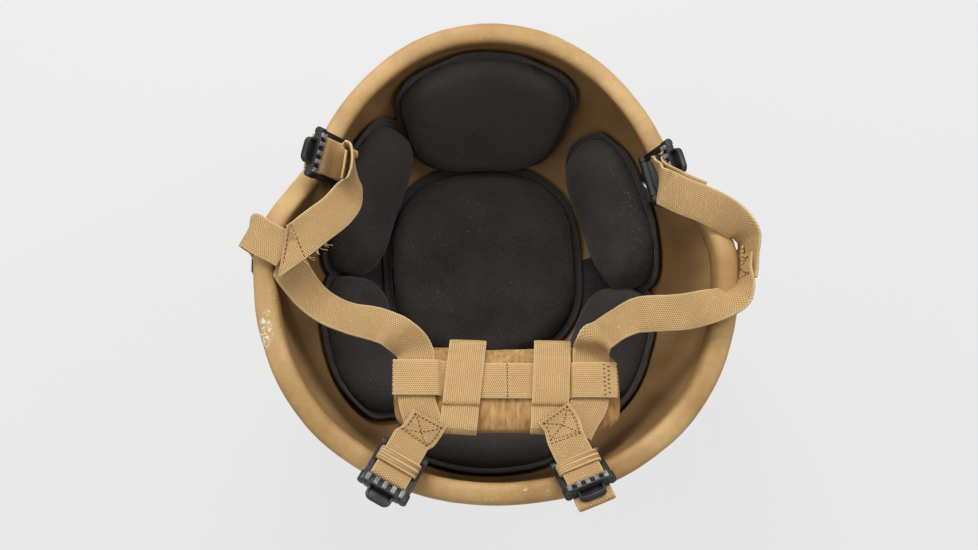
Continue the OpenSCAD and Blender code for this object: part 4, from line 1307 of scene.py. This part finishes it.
layer1, layer2 = 1.2, 3.2  # middle of a first and a second band above the nape pad
routes = {
    "front_right": [
        [-84.5, 40, 144, 1, -3, -20], [-83.7, 48, 146, 0, 0, -20], [-82.6, 54, 147, 0, 0, -20],
        [-81.6, 55.6, 147.5, 0, 0, -20], [-80.6, 54, 148, 0, 0, -20],
        [-79.6, 47, 148, 1, 0, -20], [-79.3, 40, 148, 4, 0, -17], [-80, 34, 148, 9, -1, -14],
        [-83.1, 26.8, 150, 14, -7, -10], [-88.8, 18.3, 155, 15, -12, -7],
        [-97.5, 9.5, 162, 12, -15, -4], [-106.4, 0.4, 169, 10, -17, -1],
        [-112.5, -5.2, 172.8, 9, -17, 0], [-115.4, -7.6, 173.6, 9, -17, 0],
    ],
    "side_right": [
        [-115.4, -7, 171.2, 15, 12, 0], [-111.6, -14, 168, 15, 12, -4],
        [-107, -21.3, 162.5, 15, 13, -8], [-100.2, -29.1, 157, 13, 13, -10],
        [-90.6, -35.6, 153, 12, 14, -11], [-78.7, -39.8, 150, 11, 14, -10],
        [-64.5, -42.6, 147, 12, 15, -6], [-54.5, -47, 146.6, 16, 9, -3],
        nape3(-50.5, 20, layer1, 10, 0), nape3(-49.5, 4, layer1, 10, 0),
        nape3(-49, -9, layer1, 10, 0), nape3(-46, -20, layer1 + 0.2, 10, -1),
        [-40.5, -101, 154.0, 17, -6, 0],
    ],
    "front_left": [
        [92.2, 40.6, 150.4, 1, -20, -2], [91.4, 37.4, 155, -1, -20, -3],
        [90.6, 34.8, 159.2, -2, -19, -4], [91.8, 33.4, 161.4, -2, -19, -4],
        [94.6, 32, 162, -3, -19, -4], [102.3, 28, 163, -5, -19, -5],
        [113.7, 22.4, 167, -6, -18, -6], [124, 15.2, 172.5, -7, -15, -10],
        [131.4, 7.8, 175, -8, -9.5, -15], [135, 1.6, 173, -6.7, -3.5, -18.5],
        [135.6, -4.5, 171, -6.2, 0, -19], [135.4, -13, 169.5, -6.2, 0.5, -19],
        [134.6, -19.4, 169.5, -5.5, 2, -19],
    ],
    "side_left": [
        [133.6, -5.5, 167.4, -5.4, 0, -19.2], [132.6, -14.1, 168, -5, 2, -19],
        [131.4, -20.8, 170.2, -3.6, 8, -17.4], [128.6, -26.4, 173, -2.4, 12.5, -15],
        [125.4, -30, 175, -1.5, 15.6, -12.4], [119.2, -33, 175.8, -2, 17.4, -9.6],
        [111.4, -35.2, 174.2, -2.8, 18.8, -6], [101.6, -36.9, 169, -4, 19.5, -4],
        [92.9, -37.2, 165, -3, 20, -4], [82.9, -37.3, 161.5, -4, 19.6, -3],
        [75.8, -37.9, 158, -4.6, 18.6, -5.6], [67.1, -41.8, 155, -8, 14.6, -10.5],
        [60, -46.4, 151.8, -14, 7.4, -12], [54.4, -51, 149.2, -18.6, -0.6, -7],
        nape3(47, 20, layer1 + 0.6, -10, 0), nape3(46, 4, layer1, -10, 0),
        nape3(45, -9, layer1, -10, 0), nape3(39, -20, layer1 + 0.9, -10, 1),
        [41.5, -101.5, 155.2, -17, 2, 0],
    ],
    "chin_right": [
        [-113.5, -6.4, 171.7, -7.5, -18.5, 1], [-119, -3.5, 172, -8, -18.2, 2],
        [-126, 0, 172.3, -9, -17.6, 2], [-131.2, 3.6, 171.4, -10.4, -16.9, 1.5],
        [-133.6, 5, 168.6, -9.4, -17.4, 0], [-134.2, 5.2, 163, -5, -19.2, 0],
        [-134, 4.6, 156, 0, -20, 0], [-132.6, 3, 147, 0, -20, 0],
        [-132, 2.5, 139, 0, -20, 0], [-132, 2.5, 132, 0, -20, 0],
    ],
    "chin_left": [
        [133, -10.5, 170.5, 0, 20, 0], [133, -10.5, 150, 0, 20, 0],
        [132.6, -10.5, 120, 0, 20, 0], [133, -10.5, 90, 0, 20, 0], [133, -10.5, 46, 0, 20, 0],
    ],
}  # fmt: skip


def rearRoute(name, patch):
    hub = [polar(8.2, 196), polar(4.9, min(mountSpots[name][1] + 128, 170))]
    held = [polar(barrelWrap, 100), polar(barrelWrap, 84)] + heldPath
    if name == "rear_left":
        hub = [polar(13.0, 205)] + hub
        held = held[:-1] + tailFold
    side = math.copysign(1.0, hubMatrix(name)[0, 1])
    onHub = stationsOn(hubMatrix(name), hub, side)
    return patch + onHub + stationsOn(buckleMatrix(name), held, side)


def frontRightHeld():
    contact = 152 - mountSpots["front_right"][1]
    held = [polar(barrelWrap, contact), polar(barrelWrap, 84)] + heldPath
    return stationsOn(buckleMatrix("front_right"), held)


rearPatches = {
    "rear_right": [
        [-36.2, -94.4, 155.6, 19, -6, 0], [-38.6, -98.6, 156.4, 18.6, -7, 0],
        [-42.4, -103.6, 157.8, 17.6, -9, 0],
    ],
    "rear_left": [[30.6, -91, 155.2, 16, 9, -2], [34.8, -97.4, 156.6, 17, 8, -1]],
}
ribbons = {name: Ribbon(route) for name, route in routes.items()}
ribbons |= {name: Ribbon(rearRoute(name, patch)) for name, patch in rearPatches.items()}
ribbons["front_right_held"] = Ribbon(frontRightHeld())
ribbons["front_left_held"] = Ribbon([
    [92.4, 41.6, 149, 2, -20, -1], [92.4, 44.6, 145.8, 5.4, -19, 1], [92.6, 45.9, 143, 5.4, -19, 1],
    [94.4, 46.6, 141.7, 5.4, -19, 1], [96.2, 46.6, 143.4, 5.4, -19, 1],
    [96.4, 44, 147, 5, -19, 0], [95.8, 38.6, 153.6, 1, -20, -2], [97.6, 34.8, 157.4, -3, -19, -4],
    [103, 31.2, 160.2, -5, -19, -5], [111.6, 26.6, 163.4, -6, -18.4, -6],
])  # fmt: skip


def upSide(ribbon):
    return 1.0 if ribbon.normal[:, 2].mean() > 0 else -1.0


strapLook = {
    "front_right": {"curl": 0.5, "skewEnd": 1.05, "skewRun": 26.0, "slack": 0.1},
    "side_right": {"curl": -0.35, "skewStart": -0.85, "skewRun": 22.0},
    "front_left": {"curl": 0.4, "slack": 0.1},
    "side_left": {"curl": 0.45, "slack": 0.16},
    "chin_right": {"curl": 0.3},
    "chin_left": {"curl": 0.4},
}
blendSpans = {
    "front_right": ((-81, 22, 148), (-81, 37, 148)),
    "front_left": ((119, 17, 168), (98, 32, 160.5)),
}


def rearSpan(name):
    hub = hubMatrix(name)
    return [applyMatrix(hub, [[x, 0, z]])[0] for x, z in (polar(8.0, 200), polar(2.4, 150))]


def makeStraps():
    for seed, (name, look) in enumerate(strapLook.items()):
        nodes = [f"{name}_strap"]
        blends = name in blendSpans
        piece = strapPiece(
            f"{name}_webbing", ribbons[name], webbingLook, nodes,
            None if blends else helmetBody, seed=seed + 5, **look
        )  # fmt: skip
        if blends:
            blendPiece(piece, f"{name}_buckle", *blendSpans[name])
    for name in ("front_right", "front_left"):
        blends = name == "front_left"
        piece = strapPiece(
            f"{name}_held_webbing", ribbons[name + "_held"], webbingLook,
            [f"{name}_strap_end"], None if blends else f"{name}_buckle", seed=31, slack=0.05,
        )  # fmt: skip
        if blends:
            blendPiece(piece, f"{name}_buckle", *blendSpans[name])
    for name in rearPatches:
        piece = strapPiece(
            f"{name}_webbing", ribbons[name], webbingLook,
            [f"{name}_strap", f"{name}_strap_end"], None,
            seed=41, slack=0.06, rawEnds=(True, False),
        )  # fmt: skip
        blendPiece(piece, f"{name}_buckle", *rearSpan(name))


napeBands = {
    "crossUp": 3.0, "crossHalf": 62.5, "rightAt": -24.0, "leftAt": 24.0, "rightSlant": 6.0,
    "leftSlant": 3.5,
}  # fmt: skip


def bandRoute(u, slant):
    half = napeSizes["height"] / 2
    high, low = napeBands["crossUp"] + 11, napeBands["crossUp"] - 11
    spots = [
        (half + 0.6, -1.0), (half - 1.2, 0.7), (half - 4, layer1), (high + 4, layer1),
        (high, layer2), (low, layer2), (low - 4, layer1), (4 - half, layer1),
        (1.4 - half, 0.6), (-0.4 - half, -1.4),
    ]  # fmt: skip
    return [nape3(u + slant * v / napeSizes["height"], v, h, 10, 0) for v, h in spots]


def crossRoute():
    v, half = napeBands["crossUp"], napeBands["crossHalf"]
    rightU, leftU = napeBands["rightAt"], napeBands["leftAt"]
    spots = [
        (-half + 0.5, v + 1, layer2), (rightU - 16, v + 1, layer2), (rightU - 14, v + 1, layer2),
        (rightU - 10.6, v + 1, layer1), (rightU, v, layer1), (leftU, v, layer1),
        (leftU + 10.6, v, layer1), (leftU + 14.3, v, layer2), (half - 2.5, v, layer2),
    ]  # fmt: skip
    return [nape3(u, w, h, 0, 10) for u, w, h in spots]


def makeNapeBands():
    ribbons["nape_right"] = Ribbon(bandRoute(napeBands["rightAt"], napeBands["rightSlant"]))
    ribbons["nape_left"] = Ribbon(bandRoute(napeBands["leftAt"], napeBands["leftSlant"]))
    ribbons["nape_cross"] = Ribbon(crossRoute())
    for name, node in (("nape_right", "nape_right_band"), ("nape_left", "nape_left_band")):
        strapPiece(node + "_webbing", ribbons[name], napeWebbingLook, [node], seed=51, slack=0.08)
    strapPiece(
        "nape_cross_webbing", ribbons["nape_cross"], napeWebbingLook, ["nape_cross_band"],
        seed=52, slack=0.1, rawEnds=(True, True),
    )  # fmt: skip


keeperSizes = {"width": 7.4, "at": (8.0, 3.4), "wide": 22.2, "deep": 3.3}


def makeKeepers():
    k = keeperSizes
    for name in rearPatches:
        ribbon = ribbons[name]
        target = applyMatrix(buckleMatrix(name), [[k["at"][0], 0, k["at"][1]]])[0]
        near = int(np.argmin(np.linalg.norm(ribbon.middle - target, axis=1)))
        middle, along = ribbon.middle[near], ribbon.tangent[near]
        across, out = ribbon.lateral[near], ribbon.normal[near]
        turn = np.linspace(0, 2 * math.pi, 41)
        c, s = np.cos(turn), np.sin(turn)
        x = np.sign(c) * np.abs(c) ** 0.35 * k["wide"] / 2
        z = np.sign(s) * np.abs(s) ** 0.6 * k["deep"] / 2
        loop = [[*(middle + across * u + out * w), *along] for u, w in zip(x, z)]
        band = Ribbon(loop, k["width"], 4)
        piece = strapPiece(
            name + "_keeper_band", band, elasticLook, [name + "_keeper"], None,
            seed=7, slack=0.04, weave=0.0,
        )  # fmt: skip
        blendPiece(piece, f"{name}_buckle", *rearSpan(name))


makeStraps()
makeNapeBands()
makeKeepers()
print("webbing ready")


# Stitching
def liftOf(ribbon):
    return upSide(ribbon) * (webbing["thickness"] / 2 + webbing["weaveHeight"] * 0.6 + 0.1)


def skewLine(ribbon, first, last, lift):
    count = 20
    across = np.linspace(first[0], last[0], count)
    run = np.linspace(first[1], last[1], count)
    over = np.clip(run - ribbon.length, 0, None)
    return ribbon.at(across, run, lift) + ribbon.tangent[-1] * over[:, None]


def frayedThreads(name, ribbon, spans, seed):
    chance = np.random.default_rng(seed)
    steps = np.linspace(0, 1, 9)
    edge = webbing["width"] / 2
    lines = []
    for side, first, last, count, reach in spans:
        for run in chance.uniform(first, last, count):
            out = edge - 0.3 + steps * reach * chance.uniform(0.4, 1.0)
            lean, sway, turns = (chance.uniform(*s) for s in ((-2.6, 2.6), (0.3, 1.0), (2, 5)))
            wave = lean * steps + sway * np.sin(steps * turns)
            near = int(np.clip(run / ribbon.length * len(ribbon.run), 0, len(ribbon.run) - 1))
            line = ribbon.at(np.full(9, side * edge), np.full(9, run), 0.0)
            line = line + side * (out - edge)[:, None] * ribbon.lateral[near]
            line = line + wave[:, None] * ribbon.tangent[near]
            line[:, 2] += chance.uniform(0.2, 1.6) * np.sin(steps * math.pi * 0.6)
            lines.append(line)
    stitchesOn(name, lines, paleThread, pitch=0.4, length=0.6, thread=0.13)


patchStitches = {"low": 1.6, "high": 15.5, "half": 7.8, "extraRow": 17.2}


def stitchRearPatches():
    p = patchStitches
    for name in rearPatches:
        ribbon = ribbons[name]
        lift = liftOf(ribbon)
        lines = boxCross(ribbon, p["low"], p["high"], p["half"], lift)
        lines += [lineOn(ribbon, (-p["half"], p["extraRow"]), (p["half"], p["extraRow"]), lift)]
        stitchesOn(name + "_stitches", lines, darkThread)


def stitchRightJoint():
    front = ribbons["front_right"]
    lift, end = liftOf(front), front.length
    marks = [((-8.6, end - 11.4), (8.6, end + 6.6)), ((-8.4, end - 13.4), (8.4, end - 8.0))]
    lines = [skewLine(front, first, last, lift) for first, last in marks]
    stitchesOn("right_junction_stitches", lines, darkThread, pitch=2.4, length=1.9, thread=0.34)
    inward = math.copysign(1.0, front.lateral[-12] @ np.array([1.0, -1.0, 0]))
    spans = [(inward, end - 25, end - 7, 10, 4.6), (-inward, end - 20, end - 4, 2, 1.2)]
    frayedThreads("right_frayed_threads", front, spans, 5)


def stitchLeftJoint():
    front, side = ribbons["front_left"], ribbons["side_left"]
    outward = math.copysign(1.0, front.lateral[-12] @ np.array([1.0, 0.3, 0]))
    spans = [(outward, front.length - 24, front.length - 3, 12, 1.8)]
    frayedThreads("left_frayed_threads", front, spans, 8)
    lift = -0.95 if (side.normal[20] @ np.array([1.0, 0, 0])) > 0 else 0.95
    marks = [
        ((-6.5, 2.5), (6.5, 2.5)), ((-7.5, 14), (7.5, 14)),
        ((-7, 2.5), (7, 14)), ((7, 2.5), (-7, 14)),
    ]  # fmt: skip
    lines = [lineOn(side, first, last, lift) for first, last in marks]
    stitchesOn("left_junction_stitches", lines, darkThread, pitch=2.2, length=1.8, thread=0.34)


def stitchNape():
    cross = ribbons["nape_cross"]
    lift = liftOf(cross)
    middle = cross.length / 2 + 1.5
    lines = [lineOn(cross, (-9, middle), (9, middle), lift)]
    stitchesOn("cross_band_stitches", lines, darkThread, pitch=1.9, length=1.5)
    turns = 15
    zig = cross.length - 5.5 + np.where(np.arange(turns) % 2, 1.2, -1.2)
    corners = list(zip(np.linspace(-8.6, 8.6, turns), zig))
    lines = [lineOn(cross, first, last, lift) for first, last in zip(corners, corners[1:])]
    stitchesOn("cross_band_zigzag", lines, darkThread, pitch=1.35, length=1.5, thread=0.24)
    lines = []
    for name in ("nape_right", "nape_left"):
        ribbon = ribbons[name]
        for run in (3.2, ribbon.length - 3.4):
            lines.append(lineOn(ribbon, (-8.8, run), (8.8, run), liftOf(ribbon)))
    stitchesOn("nape_band_stitches", lines, paleThread, pitch=2.2, length=1.6, thread=0.3)


stitchRearPatches()
stitchRightJoint()
stitchLeftJoint()
stitchNape()
print("stitching ready")


# Buckles, in their own axes: x from the hinge to the toothed bar, z its upper side
def closeTube(work, first, last):
    work.faces.new(first[::-1])
    work.faces.new(last)
    for i in range(len(first)):
        j = (i + 1) % len(first)
        work.faces.new((first[i], first[j], last[j], last[i]))


def addPrism(work, outline, low, high):
    base, top = ([work.verts.new((x, y, z)) for x, y in outline] for z in (low, high))
    closeTube(work, base, top)


def addBox(work, low, high):
    (x0, y0, z0), (x1, y1, z1) = low, high
    addPrism(work, [(x0, y0), (x1, y0), (x1, y1), (x0, y1)], z0, z1)


def addRod(work, start, end, radius, steps=32):
    start, end = Vector(start), Vector(end)
    turned = (end - start).to_track_quat("Z", "Y").to_matrix()
    rings = []
    for spot in (start, end):
        rings.append([
            work.verts.new(spot + turned @ Vector((radius * math.cos(a), radius * math.sin(a), 0)))
            for a in (2 * math.pi * i / steps for i in range(steps))
        ])
    closeTube(work, *rings)


def bevelledMesh(name, build, width, material, segments=3):
    work = bmesh.new()
    build(work)
    bmesh.ops.recalc_face_normals(work, faces=work.faces)
    mesh = bpy.data.meshes.new(name)
    work.to_mesh(mesh)
    work.free()
    mesh.materials.append(material)
    piece = makeObject(name, mesh)
    addBevel(piece, width, segments, 38)
    settleModifiers(piece)
    mesh = piece.data
    shadeSmooth(mesh)
    mesh.set_sharp_from_angle(angle=math.radians(42))
    bpy.data.objects.remove(piece)
    return mesh


def buildFrame(work):
    b = buckleSizes
    low, high = b["reach"] - b["barWidth"] / 2, b["reach"] + b["barWidth"] / 2
    arm, bar = b["armThick"] / 2, b["barThick"] / 2
    for side in (-1, 1):
        y0, y1 = sorted((side * b["armIn"], side * b["armOut"]))
        ridge, corner = side * b["ridgeAt"], side * b["cornerAt"]
        addRod(work, (0, y0, 0), (0, y1, 0), b["eye"])
        addBox(work, (1.2, y0 + 0.02, -arm), (low + 1.4, y1 - 0.02, arm))
        addBox(work, (2.0, ridge - 0.5, -1.0), (low, ridge + 0.5, 2.1))
        addRod(work, (low - 0.4, corner, 0.2), (high + 0.3, corner, 0.2), b["cornerRound"], 24)
    middle = b["reach"] / 2
    rodEnd, barEnd = b["armOut"] - b["rodInset"], b["armOut"] - b["barInset"]
    addRod(work, (middle, -rodEnd, -0.1), (middle, rodEnd, -0.1), b["smoothBar"])
    addBox(work, (low, -barEnd, -bar), (high, barEnd, bar))
    lip = b["lipHalf"]
    addBox(work, (high - b["lipWidth"], -lip, bar - 0.2), (high, lip, bar + b["lipRise"]))


def buildTab(work):
    b = buckleSizes
    start = b["reach"] + b["barWidth"] / 2 - 0.5
    run, half, corner = b["tabRun"] + 0.3, b["tabWidth"] / 2, 4.0

    def outline(inset):
        r = corner - inset
        x1, y1 = start + run - inset, half - inset
        arc = [math.radians(15 * k) for k in range(7)]
        right = [(x1 - r + r * math.sin(a), -y1 + r - r * math.cos(a)) for a in arc]
        left = [(x1 - r + r * math.cos(a), y1 - r + r * math.sin(a)) for a in arc]
        return [(start, -y1), *right, *left, (start, y1)]

    addPrism(work, outline(0.0), -1.9, -0.5)
    outer, inner = outline(0.0), outline(1.3)
    levels = ((outer, -1.9), (outer, 1.2), (inner, 1.2), (inner, -0.6))
    base = [[work.verts.new((x, y, z)) for x, y in ring] for ring, z in levels]
    for ring, following in zip(base, base[1:]):
        for i in range(len(outer) - 1):
            work.faces.new((ring[i], ring[i + 1], following[i + 1], following[i]))


def repeatTree():
    inputs = {"Count": 5, "Pitch": 5.0, "Start": (0.0, 0.0, 0.0), "Material": None}
    tree, wires = newTree("repeatAlongBar", inputs)
    step = addNode(tree, "ShaderNodeCombineXYZ", {"Y": wires["Pitch"]})
    line = addNode(tree, "GeometryNodeMeshLine")
    plug(tree, line.inputs["Count"], wires["Count"])
    plug(tree, line.inputs["Start Location"], wires["Start"])
    plug(tree, line.inputs["Offset"], outOf(step))
    row = addNode(
        tree, "GeometryNodeInstanceOnPoints", {"Points": outOf(line), "Instance": wires["Geometry"]}
    )
    closeTree(tree, outOf(row), wires["Material"])
    return tree


repeatWork = repeatTree()


def repeated(name, shape, count, pitch, x, z, material):
    start = (x, -(count - 1) / 2 * pitch, z)
    values = {"Count": count, "Pitch": pitch, "Start": start, "Material": material}
    return growMesh(name, repeatWork, values, shape)


def makeBuckles():
    b = buckleSizes
    frameMesh = bevelledMesh("buckleFrame", buildFrame, 0.42, plasticLook)
    tabMesh = bevelledMesh("buckleTab", buildTab, 0.3, plasticLook, 2)
    half = b["ribWidth"] / 2

    def rib(work):
        outline = [(-2.3, -half), (2.1, -half), (2.1, half), (-2.3, half)]
        addPrism(work, outline, -0.4, b["ribHeight"])

    def tooth(work):
        addPrism(work, [(0.5, -0.75), (0.5, 0.75), (-0.55, 0.1), (-0.55, -0.1)], -1.2, 1.4)

    # the ribs get a pale grey that is partly painted highlight and partly worn plastic
    ribMesh = bevelledMesh("rib", rib, 0.5, wornHighlightLook)
    toothMesh = bevelledMesh("tooth", tooth, 0.12, plasticLook, 1)
    ribs = repeated(
        "ribs", ribMesh, b["ribCount"], b["ribPitch"], b["reach"] - 0.2, b["barThick"] / 2, wornHighlightLook
    )
    edge = b["reach"] - b["barWidth"] / 2
    teeth = repeated("teeth", toothMesh, b["toothCount"], b["toothPitch"], edge, 1.2, plasticLook)
    for name in mountSpots:
        matrix = framed(buckleMatrix(name))
        parts = [(shape, matrix) for shape in (frameMesh, tabMesh, ribs, teeth)]
        piece = makeObject(name + "_ladder_buckle", joinMeshes(name + "_ladder_buckle", parts))
        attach(piece, name + "_buckle")
        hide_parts(name + "_buckle")


makeBuckles()
print("buckles ready")


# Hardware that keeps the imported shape
hardware = {
    "bracket": (plasticLook, 0.5), "pin": (steelLook, 0.15), "mount_screws": (paintedLook, 0.3),
    "post_nuts": (steelLook, 0.25), "release_socket": (plasticLook, 0.6),
    "release_clip": (plasticLook, 0.5), "hook_discs": (hookLook, 0.0),
}  # fmt: skip


def dressHardware():
    for name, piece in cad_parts.items():
        key = next((k for k in hardware if name == k or name.endswith("_" + k)), None)
        if key is None:
            continue
        material, width = hardware[key]
        piece.data.materials.clear()
        piece.data.materials.append(material)
        if width:
            addBevel(piece, width * mm, 2, 40)


dressHardware()
print("hardware ready")
